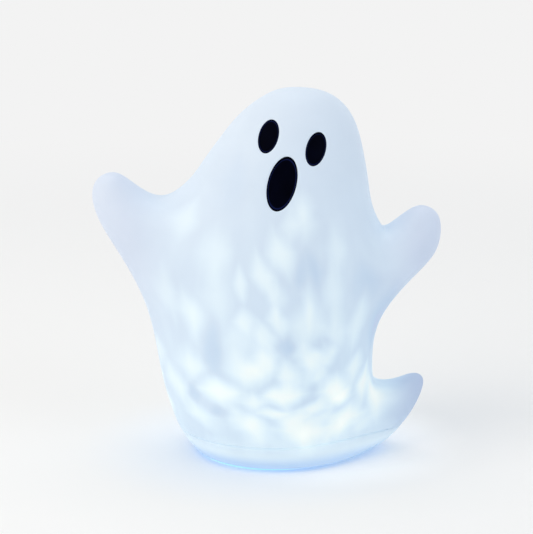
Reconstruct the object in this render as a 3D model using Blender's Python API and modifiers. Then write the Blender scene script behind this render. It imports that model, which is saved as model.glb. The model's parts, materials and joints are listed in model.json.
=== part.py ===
# Light-up ghost figure: a frosted vinyl ghost that snaps over a battery light unit.
# The ghost faces -Y and stands on Z = 0. Every length is in metres.
import math

import bmesh
import bpy
from mathutils import Vector

mm = 0.001

# Fits between pieces
seat_gap = 0.3 * mm  # left between pieces that touch on the real figure
run_gap = 0.4 * mm  # round pieces that turn or slide
overrun = 6 * mm  # how far a cutter passes the surface that it cuts
bite = 0.6 * mm  # how far joined shapes reach into each other

# Figure
figure_height = 200 * mm
figure_width = 188 * mm
figure_depth = 100 * mm
skin_wall = 2.6 * mm
unit_offset = 2.5 * mm  # the light unit's axis lies this far towards +X
hem_height = 15 * mm
hem_groove_width = 0.9 * mm
hem_groove_depth = 0.4 * mm

# Face
face_pitch_deg = 14.5  # how far the face looks up
face_roll_deg = 14.5  # how far its top leans towards +X
face_side_share = 0.138  # of the half width, to the point midway between the eyes
face_height_share = 0.884  # of the figure's height
face_front_share = 0.60  # of the half depth
eye_width = 10.4 * mm
eye_height = 18.4 * mm
eye_spacing = 25.4 * mm
mouth_width = 15.0 * mm
mouth_height = 29.2 * mm
mouth_drop = 22.5 * mm
pocket_depth = 1.5 * mm
inlay_recess = 0.3 * mm
inlay_reach = 13 * mm

# Battery cells and their bay
cell_count = 3
cell_length = 44.5 * mm
cell_radius = 5.25 * mm
cell_spacing_gap = 0.5 * mm
cell_button_radius = 1.9 * mm
cell_button_height = 0.8 * mm
cell_shift = 1.2 * mm  # towards the cell's positive end
bay_end_room = 4.3 * mm
bay_side_room = 0.4 * mm
bay_wall = 1.4 * mm

# Base cover
cover_plate = 1.6 * mm
underside_recess = 2.0 * mm
foot_rim = 1.7 * mm
foot_flange = 4.0 * mm
foot_thickness = 1.8 * mm
pad_height = 2.4 * mm

# Upper housing
drum_wall = 1.6 * mm
wire_space = 3.3 * mm
deck_edge = 2.0 * mm
bead_height = 2.4 * mm
bead_reach = 1.1 * mm
boss_radius = 2.9 * mm
tower_wall = 1.6 * mm

# Screws
screw_radius = 1.0 * mm
screw_head_radius = 2.2 * mm
screw_head_height = 1.0 * mm
screw_length = 7.0 * mm
screw_point = 1.2 * mm
screw_slot_width = 0.6 * mm
screw_slot_depth = 0.5 * mm
screw_sides = 8

# Battery door
tongue_width = 9.0 * mm
tongue_thickness = 1.4 * mm
tongue_overhang = 2.9 * mm
door_boss_radius = 2.8 * mm
door_boss_top = 9.5 * mm
door_screw_length = 3.6 * mm
door_tab_width = 6.0 * mm
door_tab_spacing = 16.0 * mm
door_tab_reach = 1.6 * mm
door_tab_thickness = 1.2 * mm
door_tab_root = 2.5 * mm

# Contacts
contact_thickness = 0.5 * mm
contact_width = 9.0 * mm
contact_bump_radius = 1.8 * mm
solder_tab_width = 2.4 * mm
solder_tab_rise = 1.4 * mm
spring_radius = 3.0 * mm
spring_tip_radius = 2.3 * mm
spring_wire = 0.7 * mm
spring_turns = 3
spring_turn_points = 8

# Slide switch
switch_width = 5.2 * mm
switch_length = 9.0 * mm
switch_height = 5.0 * mm
knob_width = 2.6 * mm
knob_length = 3.2 * mm
knob_rise = 0.7 * mm  # from the ground to the knob
knob_height = 5.4 * mm
knob_groove = 0.5 * mm
knob_groove_shares = (-0.25, 0.25)
switch_travel = 2.5 * mm

# Gear motor
gearbox_length = 20.0 * mm
gearbox_width = 14.0 * mm
gearbox_height = 10.0 * mm
gearbox_behind_shaft = 8.0 * mm
gearbox_clear = 2.5 * mm
ear_reach = 5.4 * mm
ear_length = 6.0 * mm
ear_thickness = 1.6 * mm
ear_side_offset = 2.0 * mm
gearbox_screw_length = 4.6 * mm
motor_radius = 6.0 * mm
motor_length = 10.0 * mm
motor_flat_height = 9.4 * mm
motor_cap_length = 2.0 * mm
motor_cap_radius = 4.6 * mm
motor_lead_room = 4.0 * mm
shaft_radius = 1.5 * mm
shaft_bite = 6.0 * mm

# Light platform and board
platform_thickness = 1.7 * mm
platform_boss = 2.4 * mm
platform_boss_radius = 2.4 * mm
platform_skirt = 2.0 * mm
wire_hole_radius = 2.8 * mm
wire_hole_offset = 19.2 * mm
board_radius = 15.0 * mm
board_thickness = 1.2 * mm
board_hole_radius = 4.4 * mm
board_screw_offset = 12.2 * mm
board_screw_length = 4.2 * mm
led_count = 4
led_width = 5.0 * mm
led_height = 1.6 * mm
led_lens_radius = 1.9 * mm
led_lens_height = 0.3 * mm
led_offset = 9.4 * mm
chip_size = (3.9 * mm, 3.0 * mm, 1.3 * mm)
chip_offset = 12.0 * mm
resistor_size = (3.0 * mm, 1.6 * mm, 0.6 * mm)
resistor_offset = 12.6 * mm
resistor_spacing = 6.6 * mm

# Turning dome
dome_clear = 0.9 * mm  # from the LEDs to the spokes
hub_radius = 3.4 * mm
hub_height = 4.4 * mm
hub_roof = 1.0 * mm
spoke_count = 3
spoke_width = 2.2 * mm
spoke_thickness = 1.4 * mm
carrier_radius = 22.4 * mm
carrier_wall = 1.4 * mm
carrier_drop = 2.4 * mm
carrier_foot = 1.0 * mm
carrier_foot_reach = 1.9 * mm
dome_wall = 1.8 * mm
dome_skirt = 4.8 * mm
dome_segments = 16
dome_rows = 4
dome_facet = 0.6 * mm  # how far each facet's point stands out
facet_tilt = 0.5  # panels that face down more than this stay flat

# Leads
lead_radius = 0.55 * mm

# Smoothness
cage_sides = 10
round_sides = 32
small_sides = 16
inlay_sides = 32
tip_swell_share = 1.6  # the smoothed tip draws in, so its cage point stands out further
form_levels = 2
hollow_levels = 1
sharp_angle_deg = 35
weld_distance = 0.01 * mm

# Sections of the body, bottom to top: left x, left z, right x, right z, half depth
body_shares = (
    (-0.314, -0.040, 0.463, -0.040, 0.700),
    (-0.431, 0.013, 0.580, 0.013, 0.890),
    (-0.521, 0.070, 0.548, 0.065, 0.974),
    (-0.569, 0.140, 0.574, 0.140, 0.996),
    (-0.617, 0.215, 0.606, 0.212, 1.000),
    (-0.670, 0.400, 0.606, 0.370, 0.966),
    (-0.686, 0.550, 0.644, 0.485, 0.900),
    (-0.569, 0.698, 0.665, 0.613, 0.830),
    (-0.431, 0.752, 0.590, 0.677, 0.770),
    (-0.362, 0.805, 0.574, 0.750, 0.720),
    (-0.271, 0.863, 0.548, 0.820, 0.640),
    (-0.165, 0.930, 0.511, 0.900, 0.510),
    (-0.021, 0.980, 0.441, 0.958, 0.340),
    (0.090, 1.002, 0.314, 0.998, 0.150),
)

# Limbs: side, first and last body section that they grow from, how far the tip bulges, and for
# each section x, z, half height, half depth and rise in degrees
limb_shares = {
    "right_arm": (1, 5, 7, 0.051, (
        (0.761, 0.555, 0.160, 0.380, 32),
        (0.878, 0.605, 0.154, 0.280, 36),
        (0.936, 0.650, 0.101, 0.190, 38),
    )),
    "left_arm": (-1, 5, 7, 0.051, (
        (0.739, 0.620, 0.197, 0.420, 25),
        (0.867, 0.688, 0.154, 0.270, 35),
        (0.936, 0.743, 0.106, 0.180, 45),
    )),
    "tail": (1, 1, 4, 0.043, (
        (0.654, 0.100, 0.191, 0.360, 12),
        (0.793, 0.147, 0.112, 0.220, 30),
        (0.862, 0.190, 0.064, 0.100, 45),
    )),
}

# Sizes worked out from the ones above
half_width = figure_width / 2
half_depth = figure_depth / 2
cell_pitch = 2 * cell_radius + cell_spacing_gap
bay_half_x = cell_count * cell_pitch / 2 + bay_side_room
bay_half_y = cell_length / 2 + bay_end_room
plate_top = underside_recess + cover_plate
bay_floor = plate_top + seat_gap
cell_height = bay_floor + cell_radius
bay_roof = cell_height + cell_radius + seat_gap
bay_top = bay_roof + bay_wall
bay_outer_x = bay_half_x + bay_wall
bay_outer_y = bay_half_y + bay_wall
drum_inner = math.hypot(bay_outer_x, bay_outer_y) + seat_gap
drum_radius = drum_inner + drum_wall
drum_bottom = plate_top + seat_gap
deck_top = bay_top + wire_space + drum_wall
foot_radius = drum_radius + foot_flange
opening_radius = drum_radius + run_gap
shell_bottom = foot_thickness + seat_gap
lip_top = shell_bottom + skin_wall
boss_circle = drum_inner - boss_radius - seat_gap
boss_x = bay_outer_x + 2 * seat_gap + boss_radius
boss_y = math.sqrt(boss_circle ** 2 - boss_x ** 2)
boss_bottom = plate_top + pad_height + seat_gap
switch_x = (bay_outer_x + drum_inner) / 2
door_screw_y = -(bay_outer_y + door_boss_radius - bite)
door_hinge_y = bay_half_y
tongue_slot_top = underside_recess + tongue_thickness + seat_gap
door_tab_top = plate_top + seat_gap + door_tab_thickness - underside_recess  # above the hinge line
tab_swing_top = underside_recess + math.hypot(door_tab_reach, door_tab_top)
contact_low = tab_swing_top + 2 * seat_gap
contact_high = bay_roof - seat_gap
gearbox_bottom = bay_top + gearbox_clear
gearbox_top = gearbox_bottom + gearbox_height
platform_bottom = gearbox_top + seat_gap + platform_boss
platform_top = platform_bottom + platform_thickness
tower_top = platform_bottom - seat_gap
tower_inner = math.hypot(gearbox_behind_shaft + seat_gap + motor_length + seat_gap
                         + motor_cap_length + motor_lead_room, motor_radius)
tower_radius = tower_inner + tower_wall
board_bottom = platform_top + seat_gap
board_top = board_bottom + board_thickness
led_bottom = board_top + seat_gap
led_top = led_bottom + led_height + led_lens_height
spoke_bottom = led_top + dome_clear
spoke_top = spoke_bottom + spoke_thickness
carrier_bottom = spoke_bottom - carrier_drop
shaft_top = spoke_bottom + hub_height - hub_roof - seat_gap
dome_inner = (carrier_radius + seat_gap) / math.cos(math.pi / dome_segments)
dome_outer = dome_inner + dome_wall
dome_bottom = carrier_bottom + carrier_foot + seat_gap
dome_centre = dome_bottom + dome_skirt


def make_collection(name):
    collection = bpy.data.collections.new(name)
    bpy.context.scene.collection.children.link(collection)
    return collection


def make_material(name, colour, roughness, metallic=0.0, transmission=0.0):
    made = bpy.data.materials.new(name)
    made.use_nodes = True
    shader = made.node_tree.nodes["Principled BSDF"]
    shader.inputs["Base Color"].default_value = (*colour, 1)
    shader.inputs["Roughness"].default_value = roughness
    shader.inputs["Metallic"].default_value = metallic
    shader.inputs["Transmission Weight"].default_value = transmission
    return made


# Finishes: colour, roughness, metallic and transmission
finishes = {
    "vinyl": ((0.80, 0.88, 0.95), 0.45),
    "black gloss": ((0.005, 0.005, 0.012), 0.15),
    "white plastic": ((0.82, 0.83, 0.84), 0.4),
    "black plastic": ((0.02, 0.02, 0.02), 0.4),
    "steel": ((0.62, 0.62, 0.60), 0.3, 1.0),
    "nickel": ((0.75, 0.74, 0.70), 0.25, 1.0),
    "cell jacket": ((0.10, 0.11, 0.12), 0.3),
    "circuit board": ((0.02, 0.16, 0.07), 0.4),
    "led": ((0.95, 0.90, 0.55), 0.3),
    "clear plastic": ((0.92, 0.96, 1.0), 0.05, 0.0, 0.9),
    "red lead": ((0.55, 0.02, 0.02), 0.45),
    "black lead": ((0.02, 0.02, 0.02), 0.45),
}


def add_part(name, data, finish, parent=None, location=(0, 0, 0)):
    part = bpy.data.objects.new(name, data)
    part.location = location
    part.parent = parent
    parts.objects.link(part)
    if not data.materials:
        data.materials.append(None)
    part.material_slots[0].link = "OBJECT"
    part.material_slots[0].material = make_material(name, *finishes[finish])
    return part


def add_cutter(name, data, parent=None, location=(0, 0, 0)):
    cutter = bpy.data.objects.new(name, data)
    cutter.location = location
    cutter.parent = parent
    cutter.hide_render = True
    cutter.display_type = "WIRE"
    cutters.objects.link(cutter)
    return cutter


def combine(part, tool, operation="DIFFERENCE"):
    step = part.modifiers.new(tool.name, "BOOLEAN")
    step.operation = operation
    step.object = tool


def cut(part, name, data, location=(0, 0, 0)):
    combine(part, add_cutter(name, data, part.parent, location))


def join(part, name, data, location=(0, 0, 0)):
    combine(part, add_cutter(name, data, part.parent, location), "UNION")


def finish_mesh(name, bm, smooth=True):
    mesh = bpy.data.meshes.new(name)
    bm.to_mesh(mesh)
    bm.free()
    if smooth:
        mesh.shade_smooth()
        mesh.set_sharp_from_angle(angle=math.radians(sharp_angle_deg))
    return mesh


def box_mesh(low, high):
    """A box between two corners."""
    bm = bmesh.new()
    bmesh.ops.create_cube(bm, size=1)
    size = [b - a for a, b in zip(low, high)]
    centre = [(a + b) / 2 for a, b in zip(low, high)]
    bmesh.ops.scale(bm, vec=size, verts=bm.verts)
    bmesh.ops.translate(bm, vec=centre, verts=bm.verts)
    return finish_mesh("box", bm, smooth=False)


def rod_mesh(radius, bottom, top, sides, tip_radius=None):
    """An upright cylinder or cone from one height to another."""
    bm = bmesh.new()
    bmesh.ops.create_cone(bm, cap_ends=True, segments=sides, radius1=radius,
                          radius2=radius if tip_radius is None else tip_radius, depth=top - bottom)
    bmesh.ops.translate(bm, vec=(0, 0, (bottom + top) / 2), verts=bm.verts)
    return finish_mesh("rod", bm)


def profile_mesh(points, closed):
    """An outline in the XZ plane, given as radius and height."""
    mesh = bpy.data.meshes.new("profile")
    edges = [(i, i + 1) for i in range(len(points) - 1)]
    if closed:
        edges.append((len(points) - 1, 0))
    mesh.from_pydata([(r, 0, z) for r, z in points], edges, [])
    return mesh


def turn(thing, sides):
    """Turns an outline, which runs down its outer side, into a solid."""
    step = thing.modifiers.new("Turn", "SCREW")
    step.steps = step.render_steps = sides
    step.use_merge_vertices = True
    step.merge_threshold = weld_distance
    step.use_smooth_shade = True


def baked_mesh(thing):
    """The mesh that an object's modifiers make, with the object and its cutters removed."""
    graph = bpy.context.evaluated_depsgraph_get()
    mesh = bpy.data.meshes.new_from_object(thing.evaluated_get(graph))
    for step in list(thing.modifiers):
        if step.type == "BOOLEAN":
            bpy.data.objects.remove(step.object, do_unlink=True)
    bpy.data.objects.remove(thing, do_unlink=True)
    return mesh


def body_point(ring, angle):
    """A point of the body's cage on one of its sections."""
    left_x, left_z, right_x, right_z, depth = body_shares[ring]
    left = Vector((left_x * half_width, 0, left_z * figure_height))
    right = Vector((right_x * half_width, 0, right_z * figure_height))
    across = (right - left) / 2
    front = Vector((0, depth * half_depth, 0))
    return (left + right) / 2 + draw_out(cage_sides) * (across * math.cos(angle) + front * math.sin(angle))


def limb_point(limb, level, ring, back):
    """A point of a limb's cage: its section, its height on the section and how far back it is."""
    side, first, last, bulge, sections = limb_shares[limb]
    x, z, tall, deep, rise_deg = sections[level - 1]
    rise = math.radians(rise_deg)
    outward = Vector((side * math.cos(rise), 0, math.sin(rise)))
    upward = Vector((-side * math.sin(rise), 0, math.cos(rise)))
    up = (ring - first) / (last - first) * 2 - 1
    rim = ring in (first, last) or back != 0
    reach = math.hypot(up, back) if rim else 1
    swell = draw_out(2 * (last - first) + 4)
    point = Vector((side * x * half_width, 0, z * figure_height))
    point += upward * (up / reach * swell * tall * half_width)
    point += Vector((0, back / reach * swell * deep * half_depth, 0))
    if level == len(sections) and not rim:
        point += outward * (bulge * half_width * tip_swell_share)
    return point


def draw_out(sides):
    """How much larger a cage ring is than the round that its smoothed surface draws in to."""
    return 6 / (4 + 2 * math.cos(2 * math.pi / sides))


# The ghost's coarse cage is a tube of sections with two arms and a tail drawn out of its sides. It is
# first made on a plain tube of radius 1, where a vertex's height is its section, its bearing is its
# side and its radius is how far out it is on a limb. Then each vertex moves to its place.
def ghost_cage():
    rings = len(body_shares)
    step = 2 * math.pi / cage_sides
    bm = bmesh.new()
    spine = [bm.verts.new((1, 0, 0))]
    for _ in range(rings - 1):
        made = bmesh.ops.extrude_vert_indiv(bm, verts=spine[-1:])
        spine.append(made["verts"][0])
        spine[-1].co.z += 1
    bmesh.ops.spin(bm, geom=bm.verts[:] + bm.edges[:], cent=(0, 0, 0), axis=(0, 0, 1),
                   dvec=(0, 0, 0), angle=2 * math.pi, steps=cage_sides, use_merge=True)
    bmesh.ops.edgeloop_fill(bm, edges=[e for e in bm.edges if e.is_boundary])

    limb_at = {}
    for limb, (side, first, last, _, sections) in limb_shares.items():
        root = [f for f in bm.faces if f.calc_center_median().x * side > math.cos(step)
                and first < f.calc_center_median().z < last]
        for level in range(1, len(sections) + 1):
            made = bmesh.ops.extrude_face_region(bm, geom=root)["geom"]
            bmesh.ops.delete(bm, geom=root, context="FACES")
            root = [g for g in made if isinstance(g, bmesh.types.BMFace)]
            for vert in (g for g in made if isinstance(g, bmesh.types.BMVert)):
                vert.co.xy = vert.co.xy.normalized() * (1 + level)
                limb_at[vert] = limb

    for vert in bm.verts:
        ring = round(vert.co.z)
        angle = math.atan2(vert.co.y, vert.co.x)
        if vert in limb_at:
            limb = limb_at[vert]
            back = round(math.sin(angle) / math.sin(step))
            vert.co = limb_point(limb, round(vert.co.xy.length) - 1, ring, back)
        else:
            vert.co = body_point(ring, angle)
    bmesh.ops.recalc_face_normals(bm, faces=bm.faces)
    mesh = bpy.data.meshes.new("ghost cage")
    bm.to_mesh(mesh)
    bm.free()
    mesh.shade_smooth()
    return mesh


def smooth_form(thing, levels, inset=0.0):
    """Smooths the cage, and draws the surface in by an inset."""
    step = thing.modifiers.new("Smooth", "SUBSURF")
    step.levels = step.render_levels = levels
    if inset:
        step = thing.modifiers.new("Draw in", "DISPLACE")
        step.mid_level = 0
        step.strength = -inset


def make_forms(cage):
    """The ghost's form drawn in to the depths that the skin's cuts and inlays follow."""
    forms = {}
    for name, inset in (
        ("form at inlay face", inlay_recess),
        ("form at inlay back", pocket_depth - seat_gap),
        ("form at pocket floor", pocket_depth),
        ("form at hem groove", hem_groove_depth),
    ):
        forms[name] = add_cutter(name, cage)
        smooth_form(forms[name], form_levels, inset)
    return forms


def make_ghost_shell(cage, forms):
    reach = figure_width
    shell = add_part("ghost_shell", cage, "vinyl")
    smooth_form(shell, form_levels)
    cut(shell, "below the shell", box_mesh((-reach, -reach, -reach), (reach, reach, shell_bottom)))

    hollow = add_cutter("hollow", cage)
    smooth_form(hollow, hollow_levels, skin_wall)
    cut(hollow, "lip of the shell", box_mesh((-reach, -reach, -reach), (reach, reach, lip_top)))
    combine(shell, hollow)
    cut(shell, "snap opening", rod_mesh(opening_radius, -overrun, lip_top + overrun, round_sides),
        (unit_offset, 0, 0))

    groove = add_cutter("hem groove", box_mesh((-reach, -reach, hem_height - hem_groove_width / 2),
                                               (reach, reach, hem_height + hem_groove_width / 2)))
    combine(groove, forms["form at hem groove"])
    combine(shell, groove)
    return shell


def make_face(shell, forms):
    """Two eyes and a mouth: thin oval inlays in pockets that follow the skin."""
    face = bpy.data.objects.new("face", None)
    face.location = (face_side_share * half_width, -face_front_share * half_depth,
                     face_height_share * figure_height)
    face.rotation_mode = "ZYX"
    face.rotation_euler = (math.radians(90 - face_pitch_deg), 0, -math.radians(face_roll_deg))
    parts.objects.link(face)
    for name, x, y, width, height in (
        ("eye_left", -eye_spacing / 2, 0, eye_width, eye_height),
        ("eye_right", eye_spacing / 2, 0, eye_width, eye_height),
        ("mouth", 0, -mouth_drop, mouth_width, mouth_height),
    ):
        pocket = add_cutter(name + " pocket", oval_mesh(width, height), face, (x, y, 0))
        combine(pocket, forms["form at pocket floor"])
        combine(shell, pocket)
        inlay = add_part(name, oval_mesh(width - 2 * seat_gap, height - 2 * seat_gap),
                         "black gloss", face, (x, y, 0))
        combine(inlay, forms["form at inlay face"], "INTERSECT")
        combine(inlay, forms["form at inlay back"])


def oval_mesh(width, height):
    """An oval prism that reaches through the skin along its own Z."""
    mesh = rod_mesh(1, -inlay_reach, inlay_reach, inlay_sides)
    for vert in mesh.vertices:
        vert.co.x *= width / 2
        vert.co.y *= height / 2
    return mesh


def screw_mesh(length):
    """A pan-head screw that points up, with a cross recess in its head."""
    tip = screw_head_height + length
    profile = profile_mesh((
        (0, tip), (screw_radius / 2, tip), (screw_radius, tip - screw_point),
        (screw_radius, screw_head_height), (screw_head_radius, screw_head_height),
        (screw_head_radius, screw_head_height / 2), (screw_head_radius - screw_head_height / 2, 0), (0, 0),
    ), closed=False)
    screw = bpy.data.objects.new("screw", profile)
    parts.objects.link(screw)
    turn(screw, screw_sides)
    arm, half = screw_head_radius - screw_head_height, screw_slot_width / 2
    cut(screw, "slot", box_mesh((-arm, -half, -overrun), (arm, half, screw_slot_depth)))
    cut(screw, "cross slot", box_mesh((-half, -arm, -overrun), (half, arm, screw_slot_depth)))
    return baked_mesh(screw)


def make_cover(unit):
    """The underside: foot ring, battery bay, bosses and every opening in it."""
    foot_inner = drum_radius - foot_rim
    cover = add_part("base_cover", profile_mesh((
        (0, plate_top), (drum_radius, plate_top), (drum_radius, foot_thickness),
        (foot_radius - foot_thickness / 2, foot_thickness), (foot_radius, foot_thickness / 2),
        (foot_radius - foot_thickness / 4, 0), (foot_inner, 0), (foot_inner, underside_recess),
        (0, underside_recess),
    ), closed=False), "white plastic", unit)
    turn(cover, round_sides)
    join(cover, "bay walls", box_mesh((-bay_outer_x, -bay_outer_y, plate_top - bite),
                                      (bay_outer_x, bay_outer_y, bay_top)))
    join(cover, "door screw boss", rod_mesh(door_boss_radius, tongue_slot_top + seat_gap, door_boss_top,
                                            small_sides), (0, door_screw_y, 0))
    for x, y in boss_places():
        join(cover, "screw pad", rod_mesh(boss_radius, plate_top - bite, plate_top + pad_height,
                                          small_sides), (x, y, 0))
    cut(cover, "bay", box_mesh((-bay_half_x, -bay_half_y, -overrun), (bay_half_x, bay_half_y, bay_roof)))
    half = tongue_width / 2 + seat_gap
    cut(cover, "tongue slot", box_mesh((-half, door_screw_y - tongue_overhang - seat_gap, -overrun),
                                       (half, -bay_half_y + bite, tongue_slot_top)))
    cut(cover, "door screw hole", rod_mesh(screw_radius + run_gap, 0, door_boss_top - bay_wall,
                                           screw_sides), (0, door_screw_y, 0))
    for x, y in boss_places():
        cut(cover, "screw hole", rod_mesh(screw_radius + seat_gap, 0, boss_bottom + overrun,
                                          screw_sides), (x, y, 0))
        cut(cover, "screw counterbore", rod_mesh(screw_head_radius + seat_gap, -overrun,
                                                 plate_top + seat_gap, small_sides), (x, y, 0))
    half = door_tab_width / 2 + seat_gap
    window_top = tab_swing_top + seat_gap
    for x in (-door_tab_spacing / 2, door_tab_spacing / 2):
        cut(cover, "tab window", box_mesh((x - half, bay_half_y - bite, plate_top - seat_gap),
                                          (x + half, bay_outer_y + overrun, window_top)))
    for x, y in solder_tab_places():
        half = solder_tab_width / 2 + seat_gap
        cut(cover, "solder tab slot", box_mesh(
            (x - half, y - contact_thickness / 2 - seat_gap, bay_roof - bite),
            (x + half, y + contact_thickness / 2 + seat_gap, bay_top + overrun)))
    half_x = knob_width / 2 + run_gap
    cut(cover, "knob slot", box_mesh(
        (switch_x - half_x, -knob_length / 2 - run_gap, -overrun),
        (switch_x + half_x, knob_length / 2 + switch_travel + run_gap, plate_top + bite)))
    return cover


def boss_places():
    return [(x, y) for x in (-boss_x, boss_x) for y in (-boss_y, boss_y)]


def solder_tab_places():
    end = bay_half_y - seat_gap - contact_thickness / 2
    return [(-cell_pitch, end), (cell_pitch, -end)]


def make_drum(unit):
    """The upper housing: drum, snap bead, deck and motor tower in one moulding."""
    bead_bottom = lip_top + seat_gap
    bead_middle = bead_bottom + bead_height / 3
    drum = add_part("base_drum", profile_mesh((
        (tower_radius, tower_top), (tower_radius, deck_top), (drum_radius - deck_edge, deck_top),
        (drum_radius, deck_top - deck_edge), (drum_radius, bead_bottom + bead_height),
        (drum_radius + bead_reach, bead_middle + bead_height / 4), (drum_radius + bead_reach, bead_middle),
        (drum_radius, bead_bottom), (drum_radius, drum_bottom), (drum_inner, drum_bottom),
        (drum_inner, deck_top - drum_wall), (tower_inner, deck_top - drum_wall), (tower_inner, tower_top),
    ), closed=True), "white plastic", unit)
    turn(drum, round_sides)
    for x, y in boss_places():
        join(drum, "screw boss", rod_mesh(boss_radius, boss_bottom, deck_top - drum_wall / 2,
                                          small_sides), (x, y, 0))
        cut(drum, "pilot hole", rod_mesh(screw_radius + seat_gap, boss_bottom - overrun,
                                         boss_bottom + screw_length, screw_sides), (x, y, 0))


def make_cover_screws(unit):
    mesh = screw_mesh(screw_length)
    for number, (x, y) in enumerate(boss_places(), 1):
        add_part(f"cover_screw_{number}", mesh, "steel", unit, (x, y, plate_top - screw_head_height))


def make_door(unit):
    """The battery door swings on its tab edge; its screw sits in the tongue at the other edge."""
    hinge = bpy.data.objects.new("door hinge", None)
    hinge.location = (0, door_hinge_y, underside_recess)
    hinge.parent = unit
    parts.objects.link(hinge)
    far = -door_hinge_y
    half = bay_half_x - seat_gap
    door = add_part("battery_door", box_mesh((-half, far - bay_half_y + seat_gap, 0),
                                             (half, -seat_gap, cover_plate)), "white plastic", hinge)
    half = tongue_width / 2
    tongue_end = far + door_screw_y - tongue_overhang
    join(door, "tongue", box_mesh((-half, tongue_end, 0),
                                  (half, far - bay_half_y + seat_gap + bite, tongue_thickness)))
    tab_bottom = cover_plate + seat_gap
    for x in (-door_tab_spacing / 2, door_tab_spacing / 2):
        low, high = x - door_tab_width / 2, x + door_tab_width / 2
        join(door, "tab root", box_mesh((low, -door_tab_root, cover_plate - bite),
                                        (high, -seat_gap - bite, tab_bottom + door_tab_thickness)))
        join(door, "tab", box_mesh((low, -seat_gap - 2 * bite, tab_bottom),
                                   (high, door_tab_reach, tab_bottom + door_tab_thickness)))
    screw_place = (0, far + door_screw_y, 0)
    cut(door, "door screw clearance", rod_mesh(screw_radius + run_gap, -overrun, overrun, screw_sides),
        screw_place)
    cut(door, "door counterbore", rod_mesh(screw_head_radius + run_gap, -overrun,
                                           tongue_thickness - bite, small_sides), screw_place)
    add_part("door_screw", screw_mesh(door_screw_length), "steel", hinge,
             (0, far + door_screw_y, tongue_thickness - bite - seat_gap - screw_head_height))


def cell_facing(number):
    """Neighbouring cells face opposite ways along Y."""
    return 1 if number % 2 == 0 else -1


def cell_places():
    return [((number - (cell_count - 1) / 2) * cell_pitch, cell_facing(number))
            for number in range(cell_count)]


def make_cells(unit):
    can_top = cell_length / 2 - cell_button_height
    mesh_profile = (
        (0, cell_length / 2), (cell_button_radius, cell_length / 2), (cell_button_radius, can_top),
        (cell_radius - bite, can_top), (cell_radius, can_top - bite), (cell_radius, -cell_length / 2),
        (0, -cell_length / 2),
    )
    for number, (x, facing) in enumerate(cell_places(), 1):
        cell = add_part(f"battery_{number}", profile_mesh(mesh_profile, closed=False), "cell jacket",
                        unit, (x, facing * cell_shift, cell_height))
        cell.rotation_euler.x = -facing * math.pi / 2
        turn(cell, small_sides)


def make_contacts(unit):
    """Four plates join the cells in a row, with a bump for each button and a spring for each can end."""
    plate_y = bay_half_y - seat_gap - contact_thickness / 2
    low, high = contact_low, contact_high
    bump_tip = cell_length / 2 + cell_shift + seat_gap
    link_half = (cell_pitch + contact_width) / 2
    first, middle, last = (x for x, _ in cell_places())
    for name, end, x, half, bump_x in (
        ("contact_positive", 1, first, contact_width / 2, first),
        ("contact_link_a", -1, (first + middle) / 2, link_half, middle),
        ("contact_link_b", 1, (middle + last) / 2, link_half, last),
        ("contact_negative", -1, last, contact_width / 2, None),
    ):
        near, far = sorted((end * (plate_y - contact_thickness / 2), end * (plate_y + contact_thickness / 2)))
        plate = add_part(name, box_mesh((x - half, near, low), (x + half, far, high)), "nickel", unit)
        if bump_x is not None:
            bump = add_cutter(name + " bump", rod_mesh(contact_bump_radius, 0, plate_y - bump_tip,
                                                       small_sides, contact_bump_radius / 2), unit,
                              (bump_x, end * plate_y, cell_height))
            bump.rotation_euler.x = end * math.pi / 2
            combine(plate, bump, "UNION")
        if half == contact_width / 2:
            tab = solder_tab_width / 2
            join(plate, name + " solder tab", box_mesh((x - tab, near, high - bite),
                                                       (x + tab, far, bay_top + solder_tab_rise)))


def make_contact_springs(unit):
    """Open coils that narrow towards the cell, wound as one unbroken wire."""
    plate_face = bay_half_y - 2 * seat_gap - contact_thickness
    can_end = cell_length / 2 - cell_shift + seat_gap
    length = plate_face - can_end - spring_wire
    steps = spring_turns * spring_turn_points
    least_gap = length / spring_turns - spring_wire
    print(f"contact springs: least gap between turns {least_gap / mm:.2f} mm")
    for number, (x, facing) in enumerate(cell_places(), 1):
        wire = bpy.data.curves.new(f"contact_spring_{number}", "CURVE")
        wire.dimensions = "3D"
        wire.bevel_depth = spring_wire / 2
        wire.bevel_resolution = 1
        wire.use_fill_caps = True
        line = wire.splines.new("POLY")
        line.points.add(steps)
        for step in range(steps + 1):
            share = step / steps
            angle = 2 * math.pi * spring_turns * share
            radius = spring_radius + (spring_tip_radius - spring_radius) * share
            line.points[step].co = (radius * math.cos(angle), -length * share, radius * math.sin(angle), 1)
        spring = add_part(f"contact_spring_{number}", wire, "nickel", unit,
                          (x, -facing * (plate_face - spring_wire / 2), cell_height))
        if facing > 0:
            spring.rotation_euler.z = math.pi


def make_switch(unit):
    bottom = plate_top + seat_gap
    end = switch_length / 2
    middle = switch_travel / 2
    case = add_part("switch_case", box_mesh((switch_x - switch_width / 2, middle - end, bottom),
                                            (switch_x + switch_width / 2, middle + end,
                                             bottom + switch_height)), "black plastic", unit)
    half_x = knob_width / 2 + run_gap
    knob_top = knob_rise + knob_height
    cut(case, "knob room", box_mesh((switch_x - half_x, -knob_length / 2 - run_gap, 0),
                                    (switch_x + half_x, knob_length / 2 + switch_travel + run_gap,
                                     knob_top + run_gap)))
    slider = add_part("switch_slider", box_mesh((-knob_width / 2, -knob_length / 2, 0),
                                                (knob_width / 2, knob_length / 2, knob_height)),
                      "black plastic", unit, (switch_x, 0, knob_rise))
    for share in knob_groove_shares:
        y = share * knob_length
        cut(slider, "finger groove", box_mesh((-knob_width, y - knob_groove / 2, -overrun),
                                              (knob_width, y + knob_groove / 2, knob_groove)),
            (switch_x, 0, knob_rise))


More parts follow.
